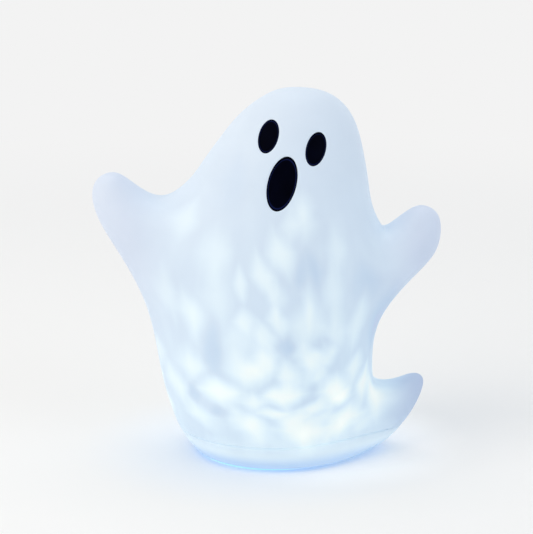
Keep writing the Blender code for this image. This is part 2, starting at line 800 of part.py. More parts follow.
def make_gear_motor(unit):
    """A geared motor hangs under the platform, with its output shaft on the unit's axis."""
    low_x = -gearbox_behind_shaft
    case = add_part("gearbox_case", box_mesh((low_x, -gearbox_width / 2, gearbox_bottom),
                                             (low_x + gearbox_length, gearbox_width / 2, gearbox_top)),
                    "white plastic", unit)
    reach = gearbox_width / 2 + ear_reach
    x = ear_side_offset
    join(case, "mounting ears", box_mesh((x - ear_length / 2, -reach, gearbox_top - ear_thickness),
                                         (x + ear_length / 2, reach, gearbox_top)))
    cut(case, "shaft hole", rod_mesh(shaft_radius + seat_gap, gearbox_top - shaft_bite - seat_gap,
                                     gearbox_top + overrun, small_sides))
    for place in ear_screw_places():
        cut(case, "ear hole", rod_mesh(screw_radius + seat_gap, gearbox_top - overrun,
                                       gearbox_top + overrun, screw_sides), (*place, 0))
    mesh = screw_mesh(gearbox_screw_length)
    for number, place in enumerate(ear_screw_places(), 1):
        height = gearbox_top - ear_thickness - seat_gap - screw_head_height
        add_part(f"gearbox_screw_{number}", mesh, "steel", unit, (*place, height))

    axis_height = (gearbox_bottom + gearbox_top) / 2
    turned = (0, -math.pi / 2, 0)
    motor = add_part("motor_can", rod_mesh(motor_radius, 0, motor_length, small_sides), "nickel", unit,
                     (low_x - seat_gap, 0, axis_height))
    motor.rotation_euler = turned
    flats = add_cutter("motor flats", box_mesh((-motor_flat_height / 2, -motor_radius - bite, -overrun),
                                               (motor_flat_height / 2, motor_radius + bite,
                                                motor_length + overrun)), unit, motor.location)
    flats.rotation_euler = turned
    combine(motor, flats, "INTERSECT")
    cap = add_part("motor_end_cap", rod_mesh(motor_cap_radius, 0, motor_cap_length, small_sides),
                   "black plastic", unit, (low_x - 2 * seat_gap - motor_length, 0, axis_height))
    cap.rotation_euler = turned


def ear_screw_places():
    y = gearbox_width / 2 + ear_reach - platform_boss_radius
    return [(ear_side_offset, y), (ear_side_offset, -y)]


def make_platform(unit):
    """The platform caps the tower, carries the gear motor below and the board above."""
    skirt_outer = tower_inner - seat_gap
    skirt_inner = skirt_outer - platform_thickness
    platform = add_part("light_platform", profile_mesh((
        (0, platform_top), (tower_radius, platform_top), (tower_radius, platform_bottom),
        (skirt_outer, platform_bottom), (skirt_outer, platform_bottom - platform_skirt),
        (skirt_inner, platform_bottom - platform_skirt), (skirt_inner, platform_bottom),
        (0, platform_bottom),
    ), closed=False), "white plastic", unit)
    turn(platform, round_sides)
    for place in ear_screw_places():
        join(platform, "motor boss", rod_mesh(platform_boss_radius, platform_bottom - platform_boss,
                                              platform_bottom + bite, small_sides), (*place, 0))
        cut(platform, "motor pilot hole", rod_mesh(
            screw_radius + seat_gap, platform_bottom - overrun,
            gearbox_top - ear_thickness + gearbox_screw_length, screw_sides), (*place, 0))
    cut(platform, "shaft way", rod_mesh(shaft_radius + run_gap, 0, platform_top + overrun, small_sides))
    for side in (-1, 1):
        cut(platform, "wire hole", rod_mesh(wire_hole_radius, 0, platform_top + overrun, small_sides),
            (side * wire_hole_offset, 0, 0))
        cut(platform, "board pilot hole", rod_mesh(screw_radius + seat_gap, 0, platform_top + overrun,
                                                   screw_sides), (0, side * board_screw_offset, 0))


def make_board(unit):
    """A round board with the LEDs, their driver and two resistors round the shaft."""
    board = add_part("led_board", rod_mesh(board_radius, board_bottom, board_top, round_sides),
                     "circuit board", unit)
    cut(board, "shaft way", rod_mesh(board_hole_radius, 0, board_top + overrun, small_sides))
    mesh = screw_mesh(board_screw_length)
    for number, side in enumerate((-1, 1), 1):
        place = (0, side * board_screw_offset, 0)
        cut(board, "board screw hole", rod_mesh(screw_radius + seat_gap, 0, board_top + overrun,
                                                screw_sides), place)
        screw = add_part(f"board_screw_{number}", mesh, "steel", unit,
                         (0, side * board_screw_offset, board_top + seat_gap + screw_head_height))
        screw.rotation_euler.x = math.pi

    half = led_width / 2
    for number in range(led_count):
        bearing = 2 * math.pi * (number + 0.5) / led_count
        led = add_part(f"led_{number + 1}", box_mesh((-half, -half, 0), (half, half, led_height)), "led",
                       unit, (led_offset * math.cos(bearing), led_offset * math.sin(bearing), led_bottom))
        led.rotation_euler.z = bearing
        lens = add_cutter("led lens", rod_mesh(led_lens_radius, led_height - led_lens_height,
                                               led_height + led_lens_height, screw_sides,
                                               led_lens_radius - led_lens_height), unit, led.location)
        combine(led, lens, "UNION")

    wide, deep, tall = (size / 2 for size in chip_size)
    add_part("driver_chip", box_mesh((-wide, -deep, 0), (wide, deep, 2 * tall)), "black plastic", unit,
             (chip_offset, 0, led_bottom))
    wide, deep, tall = (size / 2 for size in resistor_size)
    for number, side in enumerate((-1, 1), 1):
        add_part(f"resistor_{number}", box_mesh((-deep, -wide, 0), (deep, wide, 2 * tall)),
                 "black plastic", unit, (-resistor_offset + deep, side * resistor_spacing, led_bottom))


def make_dome(unit):
    """The faceted dome, its carrier and the shaft turn together about the unit's axis."""
    spindle = bpy.data.objects.new("dome spindle", None)
    spindle.parent = unit
    parts.objects.link(spindle)
    add_part("output_shaft", rod_mesh(shaft_radius, gearbox_top - shaft_bite, shaft_top, small_sides),
             "steel", spindle)

    inner = carrier_radius - carrier_wall
    foot = carrier_radius + carrier_foot_reach
    carrier = add_part("dome_carrier", profile_mesh((
        (inner, spoke_top), (carrier_radius, spoke_top), (carrier_radius, carrier_bottom + carrier_foot),
        (foot, carrier_bottom + carrier_foot), (foot, carrier_bottom), (inner, carrier_bottom),
    ), closed=True), "clear plastic", spindle)
    turn(carrier, round_sides)
    for number in range(spoke_count):
        spoke = add_cutter("spoke", box_mesh((0, -spoke_width / 2, spoke_bottom),
                                             (carrier_radius - carrier_wall / 2, spoke_width / 2,
                                              spoke_bottom + spoke_thickness - seat_gap)), spindle)
        spoke.rotation_euler.z = 2 * math.pi * number / spoke_count
        combine(carrier, spoke, "UNION")
    join(carrier, "hub", rod_mesh(hub_radius, spoke_bottom - bite / 2, spoke_bottom + hub_height,
                                  small_sides))
    cut(carrier, "hub bore", rod_mesh(shaft_radius + seat_gap, 0, shaft_top + seat_gap, small_sides))

    dome = add_part("lens_dome", faceted_dome_mesh(), "clear plastic", spindle)
    hollow = add_cutter("dome hollow", profile_mesh(
        dome_profile(dome_inner, dome_bottom - overrun, dome_rows + 1), closed=False), spindle)
    turn(hollow, dome_segments)
    combine(dome, hollow)


def dome_profile(radius, bottom, rows):
    """Down the outer side of a dome, from its pole to its foot."""
    falls = [math.pi / 2 * row / rows for row in range(rows + 1)]
    arc = [(radius * math.sin(fall), dome_centre + radius * math.cos(fall)) for fall in falls]
    return [*arc, (radius, bottom), (0, bottom)]


def faceted_dome_mesh():
    """A dome of flat four-sided panels, each raised to a point like cut glass."""
    blank = bpy.data.objects.new("dome blank", profile_mesh(
        dome_profile(dome_outer, dome_bottom, dome_rows), closed=False))
    parts.objects.link(blank)
    turn(blank, dome_segments)
    mesh = baked_mesh(blank)
    bm = bmesh.new()
    bm.from_mesh(mesh)
    bmesh.ops.recalc_face_normals(bm, faces=bm.faces)
    panels = [f for f in bm.faces if len(f.verts) == 4 and f.normal.z > -facet_tilt]
    bmesh.ops.poke(bm, faces=panels, offset=dome_facet)
    return finish_mesh("faceted dome", bm, smooth=False)


# Leads: end to end in millimetres from the unit's axis
lead_routes = {
    "lead_battery_positive": ("red lead", (
        (-10.5, 25.2, 18.2), (-9, 22, 17.8), (-3, 17, 17.4), (6, 12, 17.4), (14, 8.5, 17.5),
        (18, 5, 19.5), (19.4, 2.6, 24), (19.4, 1.6, 29), (19.0, 1.6, 33), (18.0, 1.8, 35.4),
        (16.2, 3.2, 36.0), (13.4, 4.6, 35.45))),
    "lead_battery_negative": ("black lead", (
        (10.7, -24.8, 18.2), (13, -22, 18.2), (16, -16, 18.0), (17.5, -10, 17.8), (20.5, -6, 15.5),
        (24.0, -3.4, 12.0), (26.0, -2.0, 9.9))),
    "lead_switch": ("black lead", (
        (26.3, 2.6, 9.9), (25.8, 2.2, 12.5), (24.4, 0.8, 16.5), (22.0, -1.0, 19.5), (20.2, -1.8, 24),
        (19.4, -1.6, 29), (19.0, -1.6, 33), (18.0, -1.8, 35.4), (16.2, -3.2, 36.0), (13.4, -4.6, 35.45))),
    "lead_motor_red": ("red lead", (
        (-21.3, 2.4, 23.5), (-22.4, 2.4, 24.0), (-22.7, 2.2, 26.0), (-21.5, 1.8, 28.6), (-19.8, 1.5, 31),
        (-19.0, 1.5, 33.5), (-17.8, 1.6, 35.4), (-16.2, 2.2, 36.0), (-13.6, 3.0, 35.45))),
    "lead_motor_black": ("black lead", (
        (-21.3, -2.4, 23.5), (-22.4, -2.4, 24.0), (-22.7, -2.2, 26.0), (-21.5, -1.8, 28.6),
        (-19.8, -1.5, 31), (-19.0, -1.5, 33.5), (-17.8, -1.6, 35.4), (-16.2, -2.2, 36.0),
        (-13.6, -3.0, 35.45))),
}
lead_steps = 2


def smooth_route(route):
    """Points along a smooth curve through a route's own points."""
    ends = [2 * route[0] - route[1], *route, 2 * route[-1] - route[-2]]
    line = []
    for a, b, c, d in zip(ends, ends[1:], ends[2:], ends[3:]):
        for step in range(lead_steps):
            t = step / lead_steps
            line.append(b + (c - a) * t / 2 + (2 * a - 5 * b + 4 * c - d) * t * t / 2
                        + (3 * b - a - 3 * c + d) * t * t * t / 2)
    return [*line, route[-1]]


def make_leads(unit):
    for name, (finish, route) in lead_routes.items():
        wire = bpy.data.curves.new(name, "CURVE")
        wire.dimensions = "3D"
        wire.bevel_depth = lead_radius
        wire.bevel_resolution = 1
        wire.use_fill_caps = True
        points = smooth_route([Vector(point) * mm for point in route])
        line = wire.splines.new("POLY")
        line.points.add(len(points) - 1)
        for place, point in zip(line.points, points):
            place.co = (*point, 1)
        add_part(name, wire, finish, unit)


for thing in list(bpy.data.objects):
    bpy.data.objects.remove(thing, do_unlink=True)
parts = make_collection("light-up ghost figure")
cutters = make_collection("cutters")

ghost = ghost_cage()
depth_forms = make_forms(ghost)
ghost_shell = make_ghost_shell(ghost, depth_forms)
make_face(ghost_shell, depth_forms)

light_unit = bpy.data.objects.new("light unit", None)
light_unit.location = (unit_offset, 0, 0)
parts.objects.link(light_unit)
make_cover(light_unit)
make_drum(light_unit)
make_cover_screws(light_unit)
make_door(light_unit)
make_cells(light_unit)
make_contacts(light_unit)
make_contact_springs(light_unit)
make_switch(light_unit)
make_gear_motor(light_unit)
make_platform(light_unit)
make_board(light_unit)
make_dome(light_unit)
make_leads(light_unit)
bpy.context.view_layer.update()
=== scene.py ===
import json
import math

import bmesh
import bpy
from mathutils import Matrix, Vector
from mathutils.bvhtree import BVHTree


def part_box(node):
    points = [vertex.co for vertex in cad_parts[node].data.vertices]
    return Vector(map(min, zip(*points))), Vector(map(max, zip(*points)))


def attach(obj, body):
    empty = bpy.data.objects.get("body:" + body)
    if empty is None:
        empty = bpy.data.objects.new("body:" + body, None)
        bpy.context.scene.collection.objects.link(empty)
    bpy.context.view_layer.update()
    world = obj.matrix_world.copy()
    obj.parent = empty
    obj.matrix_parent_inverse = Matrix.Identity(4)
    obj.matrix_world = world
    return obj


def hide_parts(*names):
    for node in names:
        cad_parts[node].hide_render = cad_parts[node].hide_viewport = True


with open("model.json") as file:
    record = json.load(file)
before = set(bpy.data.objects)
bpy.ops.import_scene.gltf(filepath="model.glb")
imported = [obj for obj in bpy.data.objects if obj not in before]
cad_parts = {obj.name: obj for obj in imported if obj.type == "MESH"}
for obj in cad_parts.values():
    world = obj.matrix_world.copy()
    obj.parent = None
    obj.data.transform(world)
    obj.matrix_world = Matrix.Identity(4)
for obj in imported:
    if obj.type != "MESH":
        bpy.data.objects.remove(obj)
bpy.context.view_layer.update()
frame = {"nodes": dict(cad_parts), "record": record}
mm = 0.001
tiny = 1e-6  # in metres or as a share: as good as nothing
roundSegments = 96  # sides of every round or oval outline
unitAxis = (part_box("base_drum")[0].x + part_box("base_drum")[1].x) / 2  # the light unit's own axis


# Small helpers

def linear(hexColour):
    channels = [int(hexColour[i:i + 2], 16) / 255 for i in (1, 3, 5)]
    return [c / 12.92 if c <= 0.04045 else ((c + 0.055) / 1.055) ** 2.4 for c in channels] + [1]


def addNode(tree, kind, inputs=None, **settings):
    made = tree.nodes.new("ShaderNode" + kind)
    for name, value in settings.items():
        setattr(made, name, value)
    for name, value in (inputs or {}).items():
        if isinstance(value, bpy.types.Node):
            value = value.outputs[0]
        if isinstance(value, bpy.types.NodeSocket):
            tree.links.new(value, made.inputs[name])
        else:
            made.inputs[name].default_value = value
    return made


def startMaterial(name):
    material = bpy.data.materials.new(name)
    material.use_nodes = True
    tree = material.node_tree
    return material, tree, tree.nodes["Principled BSDF"]


def dress(nodeName, material):
    piece = frame["nodes"][nodeName]
    piece.data.materials.clear()
    piece.data.materials.append(material)


def addPiece(name, bm, material, smoothAngle=35):
    mesh = bpy.data.meshes.new(name)
    bm.to_mesh(mesh)
    bm.free()
    mesh.shade_smooth()
    mesh.set_sharp_from_angle(angle=math.radians(smoothAngle))
    mesh.materials.append(material)
    piece = bpy.data.objects.new(name, mesh)
    bpy.context.scene.collection.objects.link(piece)
    return piece


# Camera: seen from the front and a little above, through a long lens
cameraSettings = {"elevation": 14.5, "distance": 1.2, "lens": 150, "aim": (-0.0005, 0, 0.102)}


def makeCamera():
    s = cameraSettings
    rise = math.radians(s["elevation"])
    aim = Vector(s["aim"])
    camera = bpy.data.objects.new("camera", bpy.data.cameras.new("camera"))
    camera.location = aim + Vector((0, -math.cos(rise), math.sin(rise))) * s["distance"]
    camera.rotation_euler = (math.pi / 2 - rise, 0, 0)
    camera.data.lens = s["lens"]
    camera.data.sensor_width = 36
    bpy.context.scene.collection.objects.link(camera)
    bpy.context.scene.camera = camera


makeCamera()
print("camera set")


# Studio: pale floor that fades into the same pale backdrop all round
studio = {
    "backdrop": "#F3F3F3",
    "floor": "#F4F5F5",
    "floorPaintedGlow": "#F0F5FB",  # painted light: the paper turns this bluer close to the figure, standing for the figure's own cold light falling on it
    "paintedGlowReach": (0.05, 0.11),
    "paintedSpill": (0.12, 0.11, 0.09),  # painted light: the paper itself glows this colour beside the foot, standing for light that leaks out under the foot and lifts the shadow beside it
    "paintedSpillAt": (0.034, 0.01, 0),
    "paintedSpillReach": (0.042, 0.085),
    "fadeFrom": 0.35,
    "fadeTo": 0.9,
    "floorRadius": 4.0,
    "paperRoughness": 0.9,
    "paperSpecular": 0.1,
    "lampAim": (0, 0, 0.1),
    "ambient": 0.70,
    "ambientTint": "#FCFDFF",
    "lamps": (
        # name, place, size, watts, colour
        ("key softbox", (-1.1, -0.8, 1.2), 1.5, 7.0, "#FFF4E4"),
        ("fill softbox", (1.2, -0.9, 0.7), 1.0, 3.1, "#E6F2FF"),
        ("side softbox", (-1.3, -0.4, 0.35), 0.8, 3.5, "#FFF2E0"),
        ("top softbox", (0, 0.5, 1.6), 1.2, 4.4, "#FFFFFF"),
    ),
}


def backdropSeen(tree):
    path = addNode(tree, "LightPath")
    seen = addNode(tree, "Math", {0: path.outputs["Is Camera Ray"], 1: path.outputs["Is Glossy Ray"]},
                   operation="MAXIMUM")
    return addNode(tree, "Math", {0: seen, 1: path.outputs["Is Transmission Ray"]}, operation="MAXIMUM")


def makeStudio():
    s = studio
    world = bpy.data.worlds.new("studio")
    world.use_nodes = True
    bpy.context.scene.world = world
    tree = world.node_tree
    tree.nodes.clear()
    plain = addNode(tree, "Background", {"Color": linear(s["ambientTint"]), "Strength": s["ambient"]})
    shown = addNode(tree, "Background", {"Color": linear(s["backdrop"]), "Strength": 1})
    mixed = addNode(tree, "MixShader", {0: backdropSeen(tree), 1: plain, 2: shown})
    addNode(tree, "OutputWorld", {"Surface": mixed})

    material, tree, shader = startMaterial("pale studio paper")
    shader.inputs["Roughness"].default_value = s["paperRoughness"]
    shader.inputs["Specular IOR Level"].default_value = s["paperSpecular"]
    place = addNode(tree, "TexCoord").outputs["Object"]
    away = addNode(tree, "VectorMath", {0: place}, operation="LENGTH").outputs["Value"]
    # painted light: the paper's colour turns bluish near the figure, for the figure's glow falling on it
    clear = addNode(tree, "MapRange", {"Value": away, "From Min": s["paintedGlowReach"][0],
                                       "From Max": s["paintedGlowReach"][1]}, interpolation_type="SMOOTHSTEP")
    tint = addNode(tree, "Mix", {0: clear, 6: linear(s["floorPaintedGlow"]), 7: linear(s["floor"])}, data_type="RGBA")
    tree.links.new(tint.outputs[2], shader.inputs["Base Color"])
    # painted light: an emission on the paper beside the foot lifts the shadow there
    beside = addNode(tree, "VectorMath", {0: place, 1: s["paintedSpillAt"]}, operation="DISTANCE").outputs["Value"]
    paintedSpillMask = addNode(tree, "MapRange", {"Value": beside, "From Min": s["paintedSpillReach"][1],
                                       "From Max": s["paintedSpillReach"][0]}, interpolation_type="SMOOTHSTEP")
    shader.inputs["Emission Color"].default_value = (*s["paintedSpill"], 1)
    tree.links.new(paintedSpillMask.outputs[0], shader.inputs["Emission Strength"])
    fade = addNode(tree, "MapRange", {"Value": away, "From Min": s["fadeFrom"], "From Max": s["fadeTo"]},
                   interpolation_type="SMOOTHSTEP")
    faded = addNode(tree, "Math", {0: fade, 1: backdropSeen(tree)}, operation="MULTIPLY")
    glow = addNode(tree, "Emission", {"Color": linear(s["backdrop"]), "Strength": 1})
    mixed = addNode(tree, "MixShader", {0: faded, 1: shader, 2: glow})
    tree.links.new(mixed.outputs[0], tree.nodes["Material Output"].inputs["Surface"])

    bm = bmesh.new()
    bmesh.ops.create_circle(bm, cap_ends=True, segments=roundSegments, radius=s["floorRadius"])
    floor = addPiece("floor", bm, material)

    for name, place, size, watts, colour in s["lamps"]:
        lamp = bpy.data.lights.new(name, "AREA")
        lamp.shape = "DISK"
        lamp.size = size
        lamp.energy = watts
        lamp.color = linear(colour)[:3]
        light = bpy.data.objects.new(name, lamp)
        light.location = place
        aim = Vector(s["lampAim"]) - light.location
        light.rotation_euler = aim.to_track_quat("-Z", "Y").to_euler()
        bpy.context.scene.collection.objects.link(light)


makeStudio()
print("studio set")


# Ghost skin: the coarse cage is a tube of sections with two arms and a tail drawn out of its sides
skin = {
    "sides": 10,
    "levels": 4,
    "wall": 2.6 * mm,
    "openingRadius": 35.7 * mm,
    "openingRound": 0.5 * mm,
    "bottomRound": 0.7 * mm,
    "hemHeight": 15 * mm,
    "hemSteps": (-1.0, -0.55, -0.2, 0.2, 0.55, 1.0),  # mm above and below the hem line
    "hemDepths": (0, 0.22, 0.42, 0.42, 0.22, 0),
    "hemFind": 0.01 * mm,
    "sharpAngle": 50,
    # body sections, bottom to top, in mm: left x, left z, right x, right z, half depth
    "body": (
        (-29.5, -8, 43.5, -8, 35), (-40.5, 2.5, 54.5, 2.5, 44.5), (-49, 14, 51.5, 13, 48.7),
        (-53.5, 28, 54, 28, 49.8), (-58, 43, 57, 42.5, 50), (-63, 80, 57, 74, 48.3),
        (-64.5, 110, 60.5, 97, 45), (-53.5, 139.5, 62.5, 122.5, 41.5),
        (-40.5, 150.5, 55.5, 135.5, 38.5), (-34, 161, 54, 150, 36),
        (-25.5, 172.5, 51.5, 164, 32), (-15.5, 186, 48, 180, 25.5), (-2, 196, 41.5, 191.5, 17),
        (8.5, 200.5, 29.5, 199.5, 7.5),
    ),
    # limbs: side, first and last body section they grow from, bulge of the tip, then for each
    # section x, z, half height, half depth in mm and rise in degrees
    "limbs": {
        "right arm": (1, 5, 7, 4.8, ((71.5, 111, 15, 19, 32), (82.5, 121, 14.5, 14, 36),
                                     (88, 130, 9.5, 9.5, 38))),
        "left arm": (-1, 5, 7, 4.8, ((69.5, 124, 18.5, 21, 25), (81.5, 137.5, 14.5, 13.5, 35),
                                     (88, 148.5, 10, 9, 45))),
        "tail": (1, 1, 4, 4, ((61.5, 20, 18, 18, 12), (74.5, 29.5, 10.5, 11, 30),
                              (81, 38, 6, 5, 45))),
    },
    "tipSwell": 1.6,
}


def drawOut(sides):
    return 6 / (4 + 2 * math.cos(2 * math.pi / sides))  # a cage ring stands this much outside its round


def bodyPoint(ring, angle):
    leftX, leftZ, rightX, rightZ, depth = skin["body"][ring]
    left, right = Vector((leftX, 0, leftZ)), Vector((rightX, 0, rightZ))
    across, front = (right - left) / 2, Vector((0, depth, 0))
    swell = drawOut(skin["sides"])
    return ((left + right) / 2 + swell * (across * math.cos(angle) + front * math.sin(angle))) * mm


def limbPoint(limb, level, ring, back):
    side, first, last, bulge, sections = skin["limbs"][limb]
    x, z, tall, deep, rise = sections[level - 1]
    rise = math.radians(rise)
    up = (ring - first) / (last - first) * 2 - 1
    rim = ring in (first, last) or back != 0
    reach = math.hypot(up, back) if rim else 1
    swell = drawOut(2 * (last - first) + 4)
    point = Vector((side * x, back / reach * swell * deep, z))
    point += Vector((-side * math.sin(rise), 0, math.cos(rise))) * (up / reach * swell * tall)
    if level == len(sections) and not rim:
        point += Vector((side * math.cos(rise), 0, math.sin(rise))) * (bulge * skin["tipSwell"])
    return point * mm


def ghostCage():
    sides = skin["sides"]
    step = 2 * math.pi / sides
    bm = bmesh.new()
    spine = [bm.verts.new((1, 0, 0))]
    for _ in skin["body"][1:]:
        spine.append(bmesh.ops.extrude_vert_indiv(bm, verts=spine[-1:])["verts"][0])
        spine[-1].co.z += 1
    bmesh.ops.spin(bm, geom=bm.verts[:] + bm.edges[:], cent=(0, 0, 0), axis=(0, 0, 1), dvec=(0, 0, 0),
                   angle=2 * math.pi, steps=sides, use_merge=True)
    bmesh.ops.edgeloop_fill(bm, edges=[e for e in bm.edges if e.is_boundary])
    limbAt = {}
    for limb, (side, first, last, _, sections) in skin["limbs"].items():
        root = [f for f in bm.faces if f.calc_center_median().x * side > math.cos(step)
                and first < f.calc_center_median().z < last]
        for level in range(1, len(sections) + 1):
            made = bmesh.ops.extrude_face_region(bm, geom=root)["geom"]
            bmesh.ops.delete(bm, geom=root, context="FACES")
            root = [g for g in made if isinstance(g, bmesh.types.BMFace)]
            for vert in (g for g in made if isinstance(g, bmesh.types.BMVert)):
                vert.co.xy = vert.co.xy.normalized() * (1 + level)
                limbAt[vert] = limb
    for vert in bm.verts:
        ring, angle = round(vert.co.z), math.atan2(vert.co.y, vert.co.x)
        if vert in limbAt:
            back = round(math.sin(angle) / math.sin(step))
            vert.co = limbPoint(limbAt[vert], round(vert.co.xy.length) - 1, ring, back)
        else:
            vert.co = bodyPoint(ring, angle)
    bmesh.ops.recalc_face_normals(bm, faces=bm.faces)
    return bm


def formMesh(cage, levels, inset):
    source = bpy.data.meshes.new("form")
    cage.to_mesh(source)
    thing = bpy.data.objects.new("form", source)
    bpy.context.scene.collection.objects.link(thing)
    smooth = thing.modifiers.new("smooth", "SUBSURF")
    smooth.levels = smooth.render_levels = levels
    draw = thing.modifiers.new("draw in", "DISPLACE")
    draw.mid_level = 0
    draw.strength = -inset
    mesh = bpy.data.meshes.new_from_object(thing.evaluated_get(bpy.context.evaluated_depsgraph_get()))
    bpy.data.objects.remove(thing)
    bm = bmesh.new()
    bm.from_mesh(mesh)
    return bm


def cutBelow(bm, height):
    bmesh.ops.bisect_plane(bm, geom=bm.verts[:] + bm.edges[:] + bm.faces[:], plane_co=(0, 0, height),
                           plane_no=(0, 0, 1), clear_inner=True)


# Face: ovals placed where the camera sees them, on a plane that looks up and leans to the side
face = {
    "place": (13 * mm, -30 * mm, 176.8 * mm),
    "pitch": 14.5,
    "roll": 14.5,
    "ovals": {
        # sideways, upwards, width, height in mm
        "eye_left": (-12.8, -0.2, 10.4, 18.4),
        "eye_right": (12.7, -0.5, 10.4, 18.4),
        "mouth": (0.2, -22.6, 15.0, 29.2),
    },
    "depthReach": 25 * mm,  # skin further behind or before the face's plane is no part of the face
    "pocket": 1.5 * mm,
    "pocketTool": 26 * mm,
    "rollReach": 1.4 * mm,
    "fineMargin": 1.5 * mm,  # how far past the roll the skin is split finely
    "rollDrop": 0.32 * mm,
    "rimDrop": 0.05 * mm,
    "dishDepth": 0.75 * mm,
    "dishWall": 1.3 * mm,
    "inlayThick": 0.35 * mm,
    "line": (0.79, 0.86),  # a ring of painted highlight round the dish, in shares of the oval
    "rings": 14,
    "ringCrowding": 1.35,  # above 1 the rings stand closer together near the rim
    "mergeReach": 1e-5,
    "sharpAngle": 60,
}


def faceMatrix():
    turned = Matrix.Rotation(-math.radians(face["roll"]), 3, "Z")
    tipped = Matrix.Rotation(math.radians(90 - face["pitch"]), 3, "X")
    return Matrix.Translation(face["place"]) @ (tipped @ turned).to_4x4()


def ovalReach(point, oval):
    # distance from the oval's rim in metres, negative inside, near enough for a slender oval
    x, y, width, height = (size * mm for size in oval)
    a, b = width / 2, height / 2
    u, v = (point.x - x) / a, (point.y - y) / b
    share = math.hypot(u, v)
    if share < tiny:
        return -min(a, b)
    slope = math.hypot(u / a, v / b) / share
    return (share - 1) / slope


def ovalCutter(oval, depth):
    x, y, width, height = (size * mm for size in oval)
    bm = bmesh.new()
    bmesh.ops.create_cone(bm, cap_ends=True, segments=roundSegments, radius1=1, radius2=1, depth=depth)
    bmesh.ops.scale(bm, vec=(width / 2, height / 2, 1), verts=bm.verts)
    bmesh.ops.translate(bm, vec=(x, y, 0), verts=bm.verts)
    bmesh.ops.transform(bm, matrix=faceMatrix(), verts=bm.verts)
    return bm


def makeSkinMesh():
    cage = ghostCage()
    outer = formMesh(cage, skin["levels"], 0)
    inner = formMesh(cage, skin["levels"] - 1, skin["wall"])
    pocketForm = formMesh(cage, skin["levels"], face["pocket"])
    cage.free()

    # hem groove: edge loops at the hem line, drawn in to a soft channel
    for up in skin["hemSteps"]:
        bmesh.ops.bisect_plane(outer, geom=outer.verts[:] + outer.edges[:] + outer.faces[:],
                               plane_co=(0, 0, skin["hemHeight"] + up * mm), plane_no=(0, 0, 1))
    outer.normal_update()
    moves = []
    for vert in outer.verts:
        for up, depth in zip(skin["hemSteps"], skin["hemDepths"]):
            if abs(vert.co.z - skin["hemHeight"] - up * mm) < skin["hemFind"]:
                moves.append((vert, vert.normal * depth * mm))
    for vert, move in moves:
        vert.co -= move

    # skin rolls in towards the eyes and mouth, on faces split fine enough to follow
    toFace = faceMatrix().inverted()
    for _ in range(2):
        near = set()
        for f in outer.faces:
            local = toFace @ f.calc_center_median()
            if local.z > -face["depthReach"] and any(
                    abs(ovalReach(local, oval)) < face["rollReach"] + face["fineMargin"]
                    for oval in face["ovals"].values()):
                near.add(f)
        edges = list({e for f in near for e in f.edges})
        bmesh.ops.subdivide_edges(outer, edges=edges, cuts=1, use_grid_fill=True, smooth=1.0)
    outer.normal_update()
    moves = []
    for vert in outer.verts:
        local = toFace @ vert.co
        if local.z < -face["depthReach"]:
            continue
        reach = min(ovalReach(local, oval) for oval in face["ovals"].values())
        share = max(0.0, 1 - max(reach, 0) / face["rollReach"])
        if share > 0:
            moves.append((vert, vert.normal * (face["rollDrop"] * share * share)))
    for vert, move in moves:
        vert.co -= move
    return outer, inner, pocketForm


def bakeModifiers(piece):
    mesh = bpy.data.meshes.new_from_object(piece.evaluated_get(bpy.context.evaluated_depsgraph_get()))
    piece.modifiers.clear()
    piece.data = mesh


def subtract(piece, tool):
    step = piece.modifiers.new("cut", "BOOLEAN")
    step.operation = "DIFFERENCE"
    step.object = tool
    bakeModifiers(piece)


def makeGhost(material):
    outer, inner, pocketForm = makeSkinMesh()
    skinTree = BVHTree.FromBMesh(outer)
    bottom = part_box("ghost_shell")[0].z
    lipTop = bottom + skin["wall"]
    cutBelow(outer, bottom)
    cutBelow(inner, lipTop)
    innerMesh = bpy.data.meshes.new("inner form")
    inner.to_mesh(innerMesh)
    inner.free()
    outer.from_mesh(innerMesh)
    lowRim, highRim = ([e for e in outer.edges if e.is_boundary and
                        all(abs(v.co.z - height) < tiny for v in e.verts)] for height in (bottom, lipTop))

    # underside: a flat lip from the outer wall to the round opening, and back along its top
    loops = []
    for height in (bottom, lipTop):
        made = bmesh.ops.create_circle(outer, segments=roundSegments, radius=skin["openingRadius"],
                                       matrix=Matrix.Translation((unitAxis, 0, height)))
        loops.append(list({e for v in made["verts"] for e in v.link_edges}))
    for edges in (lowRim + loops[0], highRim + loops[1], loops[0] + loops[1]):
        bmesh.ops.bridge_loops(outer, edges=edges)
    bmesh.ops.recalc_face_normals(outer, faces=outer.faces)
    for rim, radius in ((lowRim, skin["bottomRound"]), (loops[0], skin["openingRound"])):
        rim = [e for e in rim if e.is_valid]
        bmesh.ops.bevel(outer, geom=rim, offset=radius, segments=3, profile=0.5, affect="EDGES",
                        material=-1, clamp_overlap=True)
    ghost = addPiece("ghostSkin", outer, material, skin["sharpAngle"])

    # pockets for the eyes and the mouth
    tool = bmesh.new()
    for oval in face["ovals"].values():
        cutter = ovalCutter(oval, face["pocketTool"])
        part = bpy.data.meshes.new("oval")
        cutter.to_mesh(part)
        cutter.free()
        tool.from_mesh(part)
    toolPiece = addPiece("pockets", tool, material)
    formPiece = addPiece("pocketForm", pocketForm, material)
    subtract(toolPiece, formPiece)
    subtract(ghost, toolPiece)
    for spare in (toolPiece, formPiece):
        bpy.data.objects.remove(spare)
    ghost.data.shade_smooth()
    ghost.data.set_sharp_from_angle(angle=math.radians(skin["sharpAngle"]))
    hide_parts("ghost_shell")
    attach(ghost, "figure")
    return skinTree


